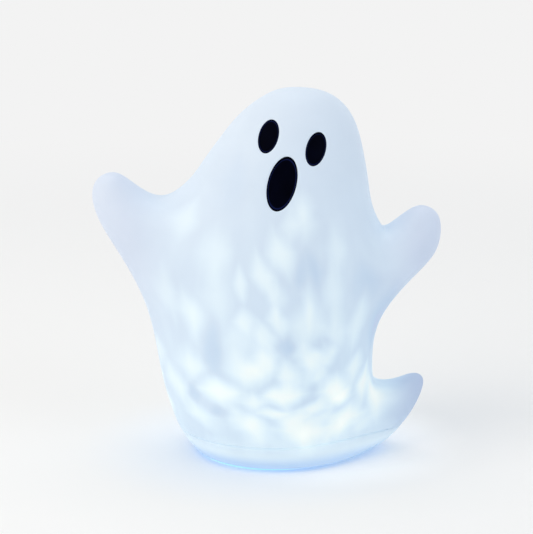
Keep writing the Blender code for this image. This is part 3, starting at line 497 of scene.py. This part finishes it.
def makeInlay(name, oval, skinTree, material, highlightMaterial):
    # a dished oval: a disc of rings, laid on the rolled skin and sunk to a flat floor
    x, y, width, height = (size * mm for size in oval)
    bm = bmesh.new()
    spoke = [bm.verts.new((0, 0, 0))]
    for _ in range(face["rings"]):
        spoke.append(bmesh.ops.extrude_vert_indiv(bm, verts=spoke[-1:])["verts"][0])
        spoke[-1].co.x += 1 / face["rings"]
    bmesh.ops.spin(bm, geom=bm.verts[:] + bm.edges[:], cent=(0, 0, 0), axis=(0, 0, 1), dvec=(0, 0, 0),
                   angle=2 * math.pi, steps=roundSegments, use_merge=True)
    bmesh.ops.remove_doubles(bm, verts=bm.verts, dist=face["mergeReach"])
    bmesh.ops.recalc_face_normals(bm, faces=bm.faces)
    if sum(f.normal.z for f in bm.faces) < 0:
        bmesh.ops.reverse_faces(bm, faces=bm.faces)
    for f in bm.faces:
        # faces in the ring get the second material, a painted highlight
        f.material_index = int(face["line"][0] < f.calc_center_median().length < face["line"][1])
    toWorld = faceMatrix()
    inward = -(toWorld.to_3x3() @ Vector((0, 0, 1)))
    for vert in bm.verts:
        share = 1 - (1 - vert.co.length) ** face["ringCrowding"] if vert.co.length < 1 else 1
        if vert.co.length > 0:
            vert.co *= share / vert.co.length
        local = Vector((x + vert.co.x * width / 2, y + vert.co.y * height / 2, 0))
        down = min(1, -ovalReach(local, oval) / face["dishWall"])
        sunk = face["rimDrop"] + face["dishDepth"] * down * down * (3 - 2 * down)
        start = toWorld @ (local + Vector((0, 0, face["depthReach"])))
        hit = skinTree.ray_cast(start, inward)[0]
        vert.co = hit + inward * sunk
    bmesh.ops.solidify(bm, geom=bm.faces[:], thickness=face["inlayThick"])
    bmesh.ops.recalc_face_normals(bm, faces=bm.faces)
    piece = addPiece(name, bm, material, face["sharpAngle"])
    piece.data.materials.append(highlightMaterial)
    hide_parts(name.replace("Inlay", ""))
    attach(piece, "figure")


# Rotocast vinyl, frosted: spun inside a heated mould, so it is satin and softly uneven, and it lets
# the light through. That light is painted light: the glow, the bright lozenges where the turning dome throws
# its beams, and painted shade between them all go into the skin's emission colour
vinyl = {
    "body": "#C2CAD4",
    "bodyPale": "#CBD3DC",
    # painted shade: a darker colour for the low, far parts of the tail
    "tailPaintedShade": "#BBC5D1",
    # painted light: these glow colours are emission painted into the skin for the inner light, paler on the
    # foot, bluer on the lip, fainter on the arms and tail
    "lowGlow": (0.07, 0.15, 0.225),
    "highGlow": (0.11, 0.153, 0.2),
    "armGlow": (0.13, 0.15, 0.20),
    "tailGlow": (0.0, 0.04, 0.14),
    "footGlow": (0.26, 0.325, 0.315),
    "footFade": (5 * mm, 19 * mm),  # heights over which the colour of the foot turns into the body's
    "lipGlow": (0.03, 0.13, 0.27),
    "lipFade": (4 * mm, 12 * mm),
    "shadeGlow": (0.29, 0.24, 0.14),
    "spotGlow": (0.29, 0.34, 0.25),
    "strongGlow": (0.262, 0.217, 0.085),  # strong beams whiten, so blue and green stay below full white
    "nearReach": 55 * mm,  # from the lamp's axis: nearer skin is fully lit, and arms and tail fade
    "farReach": 82 * mm,
    "facetRepeat": 180,  # degrees after which the dome throws the same beams again
    "beamSpread": 1.4,  # how far past its half width a beam fades out
    "beamCore": 0.1,  # share of its half width over which a beam is at full power
    "noRepeat": 99,  # so far up and down that nothing repeats there
    # rows of painted beams of light: height and half height in mm, power, how far the beams lean in degrees
    # to the left for each mm up, then bearing and half width in degrees of each; a power below zero is
    # painted shade
    "beams": (
        (18, 8.0, 0.45, 0.0, ((25, 58),)),
        (26, 9.0, 0.56, 0.2, ((-10, 13),)),
        (31, 5.0, 0.6, -0.6, ((33, 12),)),
        (32, 7.0, 0.75, 0.0, ((10, 10),)),
        (25, 8.0, 1.0, 0.2, ((19, 17),)),
        (31, 8.5, 0.52, 0.8, ((-44, 12), (-18, 13))),
        (28, 9.5, 1.05, -0.5, ((50, 13),)),
        (23, 7.0, 0.45, -0.3, ((38, 12), (62, 9))),
        (35, 3.4, 0.8, 0.2, ((0, 9),)),
        (36, 5.0, 0.9, -0.8, ((25, 10),)),
        (34, 13.0, 1.05, -0.2, ((73, 8),)),
        (41, 6.0, 0.65, 0.3, ((-10, 10),)),
        (40, 5.0, 0.7, -0.8, ((47, 9),)),
        (46, 8.0, 1.0, 0.3, ((-31, 14),)),
        (45, 6.8, 1.05, 0.1, ((8, 13),)),
        (48, 7.0, 0.35, 0.0, ((-2, 7),)),
        (44, 9.0, 1.1, -0.3, ((40, 13),)),
        (46, 11.0, 0.5, 0.6, ((-62, 11),)),
        (44, 10.0, 0.95, -0.5, ((66, 8),)),
        (54, 10.0, 0.6, -0.3, ((57, 9),)),
        (57, 9.0, 0.42, 0.2, ((-13, 10),)),
        (56, 8.0, 0.7, 0.2, ((9, 8),)),
        (59, 11.0, 0.52, 0.3, ((-48, 10), (-20, 9))),
        (60, 8.5, 0.58, 0.0, ((27, 12), (-7, 10))),
        (66, 8.0, 0.48, 0.3, ((-5, 9), (21, 9), (35, 8))),
        (76, 8.0, 0.5, 0.4, ((-5, 7),)),
        (84, 8.0, 0.5, 0.3, ((-17, 8), (3, 7))),
        (86, 13.0, 0.45, 0.3, ((-49, 8),)),
        (81, 13.0, 0.5, -0.1, ((21, 14),)),
        (79, 17.0, 0.45, -0.2, ((56, 6),)),
        (77, 14.0, 0.4, -0.1, ((41, 9),)),
        (74, 12.0, 0.35, 0.0, ((-20, 13),)),
        (80, 24.0, -0.5, 0.0, ((75, 10),)),
        (46, 9.0, 0.6, 0.2, ((92, 11),)),
        (30, 9.0, 0.5, 0.0, ((84, 9), (100, 10))),
        (60, 10.0, 0.5, 0.0, ((103, 9),)),
        (84, 13.0, 0.35, 0.0, ((93, 8),)),
        (107, 15.0, 0.7, 0.0, ((84, 12),)),
        (98, 18.0, 0.35, 0.0, ((40, 7), (24, 6))),
        (96, 17.0, 0.4, 0.2, ((-62, 6),)),
        (96, 17.0, 0.18, 0.2, ((-35, 8),)),
        (96, 10.0, 0.3, 0.0, ((3, 7),)),
        (104, 10.0, 0.45, 0.2, ((-21, 5),)),
        (109, 13.0, 0.55, 0.4, ((-6, 9),)),
        (121, 14.0, 0.55, 0.4, ((6, 10),)),
        (120, 15.0, 0.28, 0.0, ((-39, 13), (44, 7))),
        (154, 18.0, -0.15, 0.0, ((-35, 18),)),
        (135, 10.0, 0.3, 0.0, ((-60, 9), (13, 8), (25, 10))),
        (144, 9.0, 0.3, 0.0, ((24, 10),)),
        (69, 19.0, -0.28, 0.1, ((-35, 8),)),
        (71, 8.0, -0.32, 0.0, ((8, 7), (34, 7))),
        (107, 16.0, -0.38, 0.1, ((26, 11),)),
        (101, 15.0, -0.3, 0.0, ((59, 9),)),
        (43, 6.0, -0.35, 0.5, ((-48, 6),)),
        (34, 5.0, -0.34, 0.4, ((-30, 7),)),
        (49, 7.0, -0.2, -0.6, ((-46, 6), (-3, 5))),
        (52, 6.0, 0.35, -0.3, ((20, 8), (31, 7))),
    ),
    "wobbleSize": 26 * mm,
    "wobble": 4,  # degrees and mm that the beams' edges waver
    "streakWidth": 14,  # degrees
    "streakHeight": 60 * mm,
    "streakRange": (0.35, 0.7),
    "streakPower": 0.15,
    "streakFade": (0.16, 0.1),  # heights over which the streaks grow from nothing to full, downwards
    "hemBlend": (-9 * mm, 1 * mm),  # from the hem line, heights over which the beams come in
    "glowHeights": (0.05, 0.19),  # heights over which the low glow turns into the high one
    "tailShadeHeights": (0.08, 0.05),
    "beamEdge": (-0.1, 0.1),  # powers between which shade turns into beam
    "cloudSize": 22 * mm,
    "satin": (0.42, 0.56),
    "ior": 1.5,
    "specular": 0.35,
    "scatter": 0.2,
    "scatterReach": 3 * mm,
    "peelSize": 1.6 * mm,
    "peelDepth": 0.05 * mm,
    "peelStrength": 0.25,
}


def thrownBeams(tree, place):
    # bearing in degrees and height in mm seen from the lamp's axis, wavering a little
    s = vinyl
    fromAxis = addNode(tree, "VectorMath", {0: place, 1: (unitAxis, 0, 0)}, operation="SUBTRACT")
    off = addNode(tree, "SeparateXYZ", {0: fromAxis})
    front = addNode(tree, "Math", {0: off.outputs["Y"], 1: -1}, operation="MULTIPLY")
    bearing = addNode(tree, "Math", {0: off.outputs["X"], 1: front}, operation="ARCTAN2")
    plain = addNode(tree, "CombineXYZ", {"X": addNode(tree, "Math", {0: bearing, 1: math.degrees(1)},
                                                      operation="MULTIPLY"),
                                         "Y": addNode(tree, "Math", {0: off.outputs["Z"], 1: 1 / mm},
                                                      operation="MULTIPLY")})
    noise = addNode(tree, "TexNoise", {"Vector": place, "Scale": 1 / s["wobbleSize"], "Detail": 1.5})
    drift = addNode(tree, "VectorMath", {0: noise.outputs["Color"], 1: [2 * s["wobble"]] * 3,
                                         2: [-s["wobble"]] * 3}, operation="MULTIPLY_ADD")
    wavering = addNode(tree, "VectorMath", {0: plain, 1: drift}, operation="ADD")
    total = 0
    for height, halfHeight, power, lean, beams in s["beams"]:
        slope = addNode(tree, "VectorMath", {0: wavering, 1: (0, lean, 0)}, operation="DOT_PRODUCT")
        sideways = addNode(tree, "CombineXYZ", {"X": slope.outputs["Value"]})
        leaned = addNode(tree, "VectorMath", {0: wavering, 1: sideways}, operation="ADD")
        for middle, halfWidth in beams:
            offset = (-(middle + lean * height) / halfWidth, -height / halfHeight, 0)
            sized = addNode(tree, "VectorMath", {0: leaned, 1: (1 / halfWidth, 1 / halfHeight, 0), 2: offset},
                            operation="MULTIPLY_ADD")
            half = s["facetRepeat"] / 2 / halfWidth
            far = s["noRepeat"]
            turned = addNode(tree, "VectorMath", {0: sized, 1: (half, far, far), 2: (-half, -far, -far)},
                             operation="WRAP")
            sides = addNode(tree, "VectorMath", {0: turned}, operation="ABSOLUTE")
            sharp = addNode(tree, "VectorMath", {0: sides, 1: (0.5, 0.5, 0)}, operation="DOT_PRODUCT")
            blunt = addNode(tree, "VectorMath", {0: turned}, operation="LENGTH").outputs["Value"]
            away = addNode(tree, "Math", {0: blunt, 1: 0.5, 2: sharp.outputs["Value"]},
                           operation="MULTIPLY_ADD")
            beam = addNode(tree, "MapRange", {"Value": away, "From Min": s["beamSpread"],
                                              "From Max": s["beamCore"], "To Min": 0.0, "To Max": power},
                           interpolation_type="SMOOTHSTEP")
            total = addNode(tree, "Math", {0: beam, 1: total}, operation="ADD")
    streaked = addNode(tree, "VectorMath", {0: plain, 1: (1 / s["streakWidth"], mm / s["streakHeight"], 0)},
                       operation="MULTIPLY")
    streaks = addNode(tree, "TexNoise", {"Vector": streaked, "Scale": 1.0, "Detail": 2.0})
    flat = addNode(tree, "VectorMath", {0: fromAxis, 1: (1, 1, 0)}, operation="MULTIPLY")
    reach = addNode(tree, "VectorMath", {0: flat}, operation="LENGTH")
    return total, streaks.outputs[0], off.outputs["Z"], reach.outputs["Value"]


def makeVinyl():
    s = vinyl
    material, tree, shader = startMaterial("frosted rotocast vinyl")
    place = addNode(tree, "TexCoord").outputs["Object"]
    beams, streaks, height, reach = thrownBeams(tree, place)
    hemStart, hemEnd = (skin["hemHeight"] + step for step in s["hemBlend"])
    aboveHem = addNode(tree, "MapRange", {"Value": height, "From Min": hemStart, "From Max": hemEnd},
                       interpolation_type="SMOOTHSTEP")
    upward = addNode(tree, "MapRange", {"Value": height, "From Min": s["glowHeights"][0],
                                        "From Max": s["glowHeights"][1]})
    outward = addNode(tree, "MapRange", {"Value": reach, "From Min": s["nearReach"],
                                         "From Max": s["farReach"]}, interpolation_type="SMOOTHSTEP")
    soft = addNode(tree, "MapRange", {"Value": streaks, "From Min": s["streakRange"][0],
                                      "From Max": s["streakRange"][1], "To Min": 0.0,
                                      "To Max": s["streakPower"]}, interpolation_type="SMOOTHSTEP")
    fading = addNode(tree, "MapRange", {"Value": height, "From Min": s["streakFade"][0],
                                        "From Max": s["streakFade"][1]})
    soft = addNode(tree, "Math", {0: soft, 1: fading}, operation="MULTIPLY")
    lit = addNode(tree, "Math", {0: beams, 1: soft}, operation="ADD")
    lit = addNode(tree, "Math", {0: lit, 1: aboveHem}, operation="MULTIPLY")
    inward = addNode(tree, "Math", {0: 1, 1: outward}, operation="SUBTRACT")
    lit = addNode(tree, "Math", {0: lit, 1: inward}, operation="MULTIPLY")
    shade = addNode(tree, "Mix", {0: upward, 6: (*s["lowGlow"], 1), 7: (*s["highGlow"], 1)},
                    data_type="RGBA").outputs[2]
    far = addNode(tree, "Mix", {0: upward, 6: (*s["tailGlow"], 1), 7: (*s["armGlow"], 1)},
                  data_type="RGBA").outputs[2]
    shade = addNode(tree, "Mix", {0: outward, 6: shade, 7: far}, data_type="RGBA").outputs[2]
    offFoot = addNode(tree, "MapRange", {"Value": height, "From Min": s["footFade"][0],
                                         "From Max": s["footFade"][1]}, interpolation_type="SMOOTHSTEP")
    offLip = addNode(tree, "MapRange", {"Value": height, "From Min": s["lipFade"][0],
                                        "From Max": s["lipFade"][1]}, interpolation_type="SMOOTHSTEP")
    foot = addNode(tree, "Mix", {0: offLip, 6: (*s["lipGlow"], 1), 7: (*s["footGlow"], 1)},
                   data_type="RGBA").outputs[2]
    shade = addNode(tree, "Mix", {0: offFoot, 6: foot, 7: shade}, data_type="RGBA").outputs[2]
    bright = addNode(tree, "MapRange", {"Value": lit, "From Min": s["beamEdge"][0],
                                        "From Max": s["beamEdge"][1]})
    spot = addNode(tree, "Mix", {0: bright, 6: (*s["shadeGlow"], 1), 7: (*s["spotGlow"], 1)},
                   data_type="RGBA").outputs[2]
    spot = addNode(tree, "Mix", {0: lit, 6: spot, 7: (*s["strongGlow"], 1)}, data_type="RGBA").outputs[2]
    spot = addNode(tree, "VectorMath", {0: spot, "Scale": lit}, operation="SCALE")
    glow = addNode(tree, "VectorMath", {0: shade, 1: spot}, operation="ADD")
    glow = addNode(tree, "VectorMath", {0: glow, 1: (0, 0, 0)}, operation="MAXIMUM")
    tree.links.new(glow.outputs[0], shader.inputs["Emission Color"])
    shader.inputs["Emission Strength"].default_value = 1.0

    cloud = addNode(tree, "TexNoise", {"Vector": place, "Scale": 1 / s["cloudSize"], "Detail": 3.0})
    tint = addNode(tree, "Mix", {0: cloud, 6: linear(s["body"]), 7: linear(s["bodyPale"])},
                   data_type="RGBA").outputs[2]
    # painted shade: the base colour turns darker low down and far out along the tail, where less light
    # reaches
    low = addNode(tree, "MapRange", {"Value": height, "From Min": s["tailShadeHeights"][0],
                                     "From Max": s["tailShadeHeights"][1]})
    tail = addNode(tree, "Math", {0: outward, 1: low}, operation="MULTIPLY")
    tint = addNode(tree, "Mix", {0: tail, 6: tint, 7: linear(s["tailPaintedShade"])}, data_type="RGBA").outputs[2]
    tree.links.new(tint, shader.inputs["Base Color"])
    satin = addNode(tree, "MapRange", {"Value": cloud, "To Min": s["satin"][0], "To Max": s["satin"][1]})
    tree.links.new(satin.outputs[0], shader.inputs["Roughness"])
    shader.inputs["IOR"].default_value = s["ior"]
    shader.inputs["Specular IOR Level"].default_value = s["specular"]
    shader.inputs["Subsurface Weight"].default_value = s["scatter"]
    shader.inputs["Subsurface Radius"].default_value = (1.0, 1.0, 1.0)
    shader.inputs["Subsurface Scale"].default_value = s["scatterReach"]
    peel = addNode(tree, "TexNoise", {"Vector": place, "Scale": 1 / s["peelSize"], "Detail": 2.0})
    bump = addNode(tree, "Bump", {"Height": peel, "Strength": s["peelStrength"], "Distance": s["peelDepth"]})
    tree.links.new(bump.outputs[0], shader.inputs["Normal"])
    return material


# Sprayed gloss enamel in the recesses: black with a deep blue cast, smooth but a little wavy. A navy
# ring round the dish is a painted highlight, where the rim of the dish catches the light
enamel = {"waveSize": 7 * mm, "wave": 0.1 * mm, "waveStrength": 0.2, "roughness": 0.3, "specular": 0.01}


def makeEnamel(name, deep, pale):
    s = enamel
    material, tree, shader = startMaterial(name)
    place = addNode(tree, "TexCoord").outputs["Object"]
    wave = addNode(tree, "TexNoise", {"Vector": place, "Scale": 1 / s["waveSize"], "Detail": 1.0})
    tint = addNode(tree, "Mix", {0: wave, 6: linear(deep), 7: linear(pale)}, data_type="RGBA")
    tree.links.new(tint.outputs[2], shader.inputs["Base Color"])
    shader.inputs["Roughness"].default_value = s["roughness"]
    shader.inputs["Specular IOR Level"].default_value = s["specular"]
    bump = addNode(tree, "Bump", {"Height": wave, "Strength": s["waveStrength"], "Distance": s["wave"]})
    tree.links.new(bump.outputs[0], shader.inputs["Normal"])
    return material


# Moulded plastics: ABS and nylon are injection moulded in a tool with a fine spark eroded grain, and
# PVC is drawn over its wire with a coarser one, so all are even and satin
moulded = {
    "flowSize": 18 * mm,
    "grain": 0.35,  # mm
    "grainDepth": 0.02 * mm,
    "grainStrength": 0.2,
    "satin": (0.38, 0.5),
    "rimPaintedGlowColour": "#9DBBD8",  # painted light: a bluish colour on the rim of the foot, standing for light that leaks out there
}


def makeMoulded(name, colours, grain=moulded["grain"], roughness=moulded["satin"], glow=None):
    s = moulded
    material, tree, shader = startMaterial(name)
    place = addNode(tree, "TexCoord").outputs["Object"]
    flow = addNode(tree, "TexNoise", {"Vector": place, "Scale": 1 / s["flowSize"], "Detail": 2.0})
    tint = addNode(tree, "Mix", {0: flow, 6: linear(colours[0]), 7: linear(colours[1])}, data_type="RGBA")
    tree.links.new(tint.outputs[2], shader.inputs["Base Color"])
    spark = addNode(tree, "TexNoise", {"Vector": place, "Scale": 1 / (grain * mm), "Detail": 2.0})
    satin = addNode(tree, "MapRange", {"Value": spark, "To Min": roughness[0], "To Max": roughness[1]})
    tree.links.new(satin.outputs[0], shader.inputs["Roughness"])
    bump = addNode(tree, "Bump", {"Height": spark, "Strength": s["grainStrength"],
                                  "Distance": s["grainDepth"]})
    tree.links.new(bump.outputs[0], shader.inputs["Normal"])
    if glow:
        # painted light: only the outermost ring of the foot is tinted blue and glows, standing for light that
        # leaks out there
        inner, outer, colour, power = glow
        flat = addNode(tree, "VectorMath", {0: place, 1: (-unitAxis, 0, 0)}, operation="ADD")
        flat = addNode(tree, "VectorMath", {0: flat, 1: (1, 1, 0)}, operation="MULTIPLY")
        reach = addNode(tree, "VectorMath", {0: flat}, operation="LENGTH").outputs["Value"]
        edge = addNode(tree, "MapRange", {"Value": reach, "From Min": inner, "From Max": outer})
        cool = addNode(tree, "Mix", {0: edge, 6: tint.outputs[2], 7: linear(s["rimPaintedGlowColour"])},
                       data_type="RGBA")
        tree.links.new(cool.outputs[2], shader.inputs["Base Color"])
        lit = addNode(tree, "Mix", {0: edge, 6: (0, 0, 0, 1), 7: linear(colour)}, data_type="RGBA")
        tree.links.new(lit.outputs[2], shader.inputs["Emission Color"])
        shader.inputs["Emission Strength"].default_value = power
    return material


# Zinc plated or nickel plated steel: drawn to wire or strip and then plated, so it is a bright, slightly
# cloudy metal with fine drawing lines
plated = {"stretch": (1, 1, 0.15), "lineDepth": 0.01 * mm, "lineStrength": 0.15}


def makePlated(name, colours, roughness, lineSize):
    s = plated
    material, tree, shader = startMaterial(name)
    place = addNode(tree, "TexCoord").outputs["Object"]
    stretched = addNode(tree, "VectorMath", {0: place, 1: s["stretch"]}, operation="MULTIPLY")
    lines = addNode(tree, "TexNoise", {"Vector": stretched, "Scale": 1 / lineSize, "Detail": 3.0})
    tint = addNode(tree, "Mix", {0: lines, 6: linear(colours[0]), 7: linear(colours[1])}, data_type="RGBA")
    tree.links.new(tint.outputs[2], shader.inputs["Base Color"])
    shader.inputs["Metallic"].default_value = 1.0
    worn = addNode(tree, "MapRange", {"Value": lines, "To Min": roughness[0], "To Max": roughness[1]})
    tree.links.new(worn.outputs[0], shader.inputs["Roughness"])
    bump = addNode(tree, "Bump", {"Height": lines, "Strength": s["lineStrength"], "Distance": s["lineDepth"]})
    tree.links.new(bump.outputs[0], shader.inputs["Normal"])
    return material


# Shrink sleeve on a steel can: film printed in two colours and shrunk on with heat, so it is glossy and
# faintly rippled, and the steel of the button and the rim stays bare
sleeve = {
    "bare": "#B9BBBA",
    "dark": "#23272C",
    "copper": "#D0A24E",
    "ends": (0.012, 0.66, 0.955),  # shares of the cell's length where dark, copper and bare steel start
    "rippleSize": 4 * mm,
    "rippleDepth": 0.05 * mm,
    "rippleStrength": 0.1,
    "gloss": (0.16, 0.3),
}


def makeSleeve(name, nodeName, facing):
    s = sleeve
    low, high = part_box(nodeName)
    material, tree, shader = startMaterial(name)
    place = addNode(tree, "TexCoord").outputs["Object"]
    along = addNode(tree, "SeparateXYZ", {0: place}).outputs["Y"]
    start, end = (low.y, high.y) if facing > 0 else (high.y, low.y)
    share = addNode(tree, "MapRange", {"Value": along, "From Min": start, "From Max": end})
    bands = addNode(tree, "ValToRGB", {0: share})
    ramp = bands.color_ramp
    ramp.interpolation = "CONSTANT"
    darkStart, copperStart, bareStart = s["ends"]
    ramp.elements.new(darkStart).color = linear(s["dark"])
    ramp.elements.new(copperStart).color = linear(s["copper"])
    ramp.elements[-1].position = bareStart
    for end in (0, -1):
        ramp.elements[end].color = linear(s["bare"])
    tree.links.new(bands.outputs[0], shader.inputs["Base Color"])
    bare = addNode(tree, "ValToRGB", {0: share})
    bare.color_ramp.interpolation = "CONSTANT"
    bare.color_ramp.elements.new(darkStart).color = (0, 0, 0, 1)
    bare.color_ramp.elements[-1].position = bareStart
    for end in (0, -1):
        bare.color_ramp.elements[end].color = (1, 1, 1, 1)
    tree.links.new(bare.outputs[0], shader.inputs["Metallic"])
    film = addNode(tree, "TexNoise", {"Vector": place, "Scale": 1 / s["rippleSize"], "Detail": 2.0})
    gloss = addNode(tree, "MapRange", {"Value": film, "To Min": s["gloss"][0], "To Max": s["gloss"][1]})
    tree.links.new(gloss.outputs[0], shader.inputs["Roughness"])
    bump = addNode(tree, "Bump", {"Height": film, "Strength": s["rippleStrength"],
                                  "Distance": s["rippleDepth"]})
    tree.links.new(bump.outputs[0], shader.inputs["Normal"])
    return material


# Solder mask on glass fibre board: green lacquer screened over etched copper, so it is glossy and the
# copper shows through a shade lighter, with dark gaps
solderMask = {
    "copper": ("#0F5A2E", "#12632F"),
    "gap": "#0A3F20",
    "trackSize": 9 * mm,
    "gapShare": 0.06,
    "gapDepth": 0.04 * mm,
    "gapStrength": 0.4,
    "roughness": 0.28,
}


def makeSolderMask():
    s = solderMask
    material, tree, shader = startMaterial("solder mask")
    place = addNode(tree, "TexCoord").outputs["Object"]
    tracks = addNode(tree, "TexBrick", {"Vector": place, "Scale": 1 / s["trackSize"],
                                        "Mortar Size": s["gapShare"], "Color1": linear(s["copper"][0]),
                                        "Color2": linear(s["copper"][1]), "Mortar": linear(s["gap"])})
    tree.links.new(tracks.outputs[0], shader.inputs["Base Color"])
    shader.inputs["Roughness"].default_value = s["roughness"]
    bump = addNode(tree, "Bump", {"Height": tracks.outputs[1], "Strength": s["gapStrength"],
                                  "Distance": s["gapDepth"]})
    bump.invert = True
    tree.links.new(bump.outputs[0], shader.inputs["Normal"])
    return material


# White LED package: a pale moulded case filled with a dot of yellow phosphor, which is lit cold white
led = {"case": "#E8E9E6", "phosphor": "#E9D46A", "light": "#DCEBFF", "dot": (1.7 * mm, 1.9 * mm),
       "power": 4.0, "roughness": 0.35}


def makeLed(nodeName):
    s = led
    low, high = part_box(nodeName)
    middle = (low + high) / 2
    material, tree, shader = startMaterial("phosphor LED")
    place = addNode(tree, "TexCoord").outputs["Object"]
    off = addNode(tree, "VectorMath", {0: place, 1: middle}, operation="SUBTRACT")
    flat = addNode(tree, "VectorMath", {0: off, 1: (1, 1, 0)}, operation="MULTIPLY")
    reach = addNode(tree, "VectorMath", {0: flat}, operation="LENGTH").outputs["Value"]
    dot = addNode(tree, "MapRange", {"Value": reach, "From Min": s["dot"][0], "From Max": s["dot"][1],
                                     "To Min": 1.0, "To Max": 0.0})
    tint = addNode(tree, "Mix", {0: dot, 6: linear(s["case"]), 7: linear(s["phosphor"])}, data_type="RGBA")
    tree.links.new(tint.outputs[2], shader.inputs["Base Color"])
    lit = addNode(tree, "Mix", {0: dot, 6: (0, 0, 0, 1), 7: linear(s["light"])}, data_type="RGBA")
    tree.links.new(lit.outputs[2], shader.inputs["Emission Color"])
    shader.inputs["Emission Strength"].default_value = s["power"]
    shader.inputs["Roughness"].default_value = s["roughness"]
    return material


# Clear acrylic, injection moulded: glassy, with faint flow lines that bend what is behind it
clearAcrylic = {"colours": ("#F2F7FB", "#FAFCFE"), "flowSize": 6 * mm, "flowDepth": 0.1 * mm,
                "flowStrength": 0.1, "ior": 1.49, "roughness": 0.03}


def makeAcrylic():
    s = clearAcrylic
    material, tree, shader = startMaterial("clear moulded acrylic")
    place = addNode(tree, "TexCoord").outputs["Object"]
    flow = addNode(tree, "TexNoise", {"Vector": place, "Scale": 1 / s["flowSize"], "Detail": 1.5})
    pale, paler = (linear(colour) for colour in s["colours"])
    tint = addNode(tree, "Mix", {0: flow, 6: pale, 7: paler}, data_type="RGBA")
    tree.links.new(tint.outputs[2], shader.inputs["Base Color"])
    shader.inputs["Transmission Weight"].default_value = 1.0
    shader.inputs["IOR"].default_value = s["ior"]
    shader.inputs["Roughness"].default_value = s["roughness"]
    bump = addNode(tree, "Bump", {"Height": flow, "Strength": s["flowStrength"], "Distance": s["flowDepth"]})
    tree.links.new(bump.outputs[0], shader.inputs["Normal"])
    return material


# Chip resistor: a ceramic chip with tinned metal ends and black glaze fired on between them
resistor = {"glaze": "#16171A", "tin": "#C9CBCB", "endFrom": (0.36, 0.37), "roughness": 0.35}


def makeResistor(nodeName):
    s = resistor
    low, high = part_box(nodeName)
    material, tree, shader = startMaterial("chip resistor")
    place = addNode(tree, "TexCoord").outputs["Object"]
    along = addNode(tree, "SeparateXYZ", {0: place}).outputs["Y"]
    off = addNode(tree, "Math", {0: along, 1: (low.y + high.y) / 2}, operation="SUBTRACT")
    off = addNode(tree, "Math", {0: off}, operation="ABSOLUTE")
    glazeEnd, tinStart = (share * (high.y - low.y) for share in s["endFrom"])
    end = addNode(tree, "MapRange", {"Value": off, "From Min": glazeEnd, "From Max": tinStart})
    tint = addNode(tree, "Mix", {0: end, 6: linear(s["glaze"]), 7: linear(s["tin"])}, data_type="RGBA")
    tree.links.new(tint.outputs[2], shader.inputs["Base Color"])
    tree.links.new(end.outputs[0], shader.inputs["Metallic"])
    shader.inputs["Roughness"].default_value = s["roughness"]
    return material


print("materials")
glossEnamel = makeEnamel("gloss black enamel", "#010106", "#030514")
rimHighlightEnamel = makeEnamel("navy painted rim highlight", "#0B1130", "#161E48")
skinTree = makeGhost(makeVinyl())
print("ghost skin shaped")
for inlay, shape in face["ovals"].items():
    makeInlay(inlay + "Inlay", shape, skinTree, glossEnamel, rimHighlightEnamel)
print("eyes and mouth set in")

whiteAbs = makeMoulded("white moulded ABS", ("#E4E7EA", "#EDEFF1"))
# painted light: the foot's rim glows blue, though it is no lamp
footAbsPaintedGlow = makeMoulded("white moulded ABS, lit foot", ("#E4E7EA", "#EDEFF1"),
                  glow=(37.6 * mm, 38.6 * mm, "#9ACEFA", 0.8))
blackAbs = makeMoulded("black moulded nylon", ("#141416", "#1D1E20"), roughness=(0.45, 0.6))
zincSteel = makePlated("zinc plated steel", ("#A9ABA8", "#C6C7C2"), (0.25, 0.42), 0.8 * mm)
nickelSteel = makePlated("nickel plated steel", ("#C4C0B4", "#D9D6CC"), (0.16, 0.3), 1.2 * mm)
acrylic = makeAcrylic()
redPvc = makeMoulded("red PVC insulation", ("#8E1315", "#A51A1B"), grain=0.6, roughness=(0.35, 0.45))
blackPvc = makeMoulded("black PVC insulation", ("#121213", "#1B1B1D"), grain=0.6, roughness=(0.35, 0.45))
slotMaterials = {
    "white_plastic": whiteAbs, "black_plastic": blackAbs, "steel_screw": zincSteel, "nickel": nickelSteel,
    "circuit_board": makeSolderMask(), "clear_plastic": acrylic, "red_lead": redPvc, "black_lead": blackPvc,
}
for part in frame["record"]["subparts"]:
    if part["material_slot"] in slotMaterials:
        dress(part["node"], slotMaterials[part["material_slot"]])
for number in (1, 2, 3):
    name = f"battery_{number}"
    low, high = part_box(name)
    dress(name, makeSleeve("sleeved cell", name, 1 if low.y + high.y > 0 else -1))
for number in (1, 2, 3, 4):
    dress(f"led_{number}", makeLed(f"led_{number}"))
for number in (1, 2):
    dress(f"resistor_{number}", makeResistor(f"resistor_{number}"))
dress("base_cover", footAbsPaintedGlow)
print("light unit dressed")

bpy.context.scene.view_settings.view_transform = "Standard"
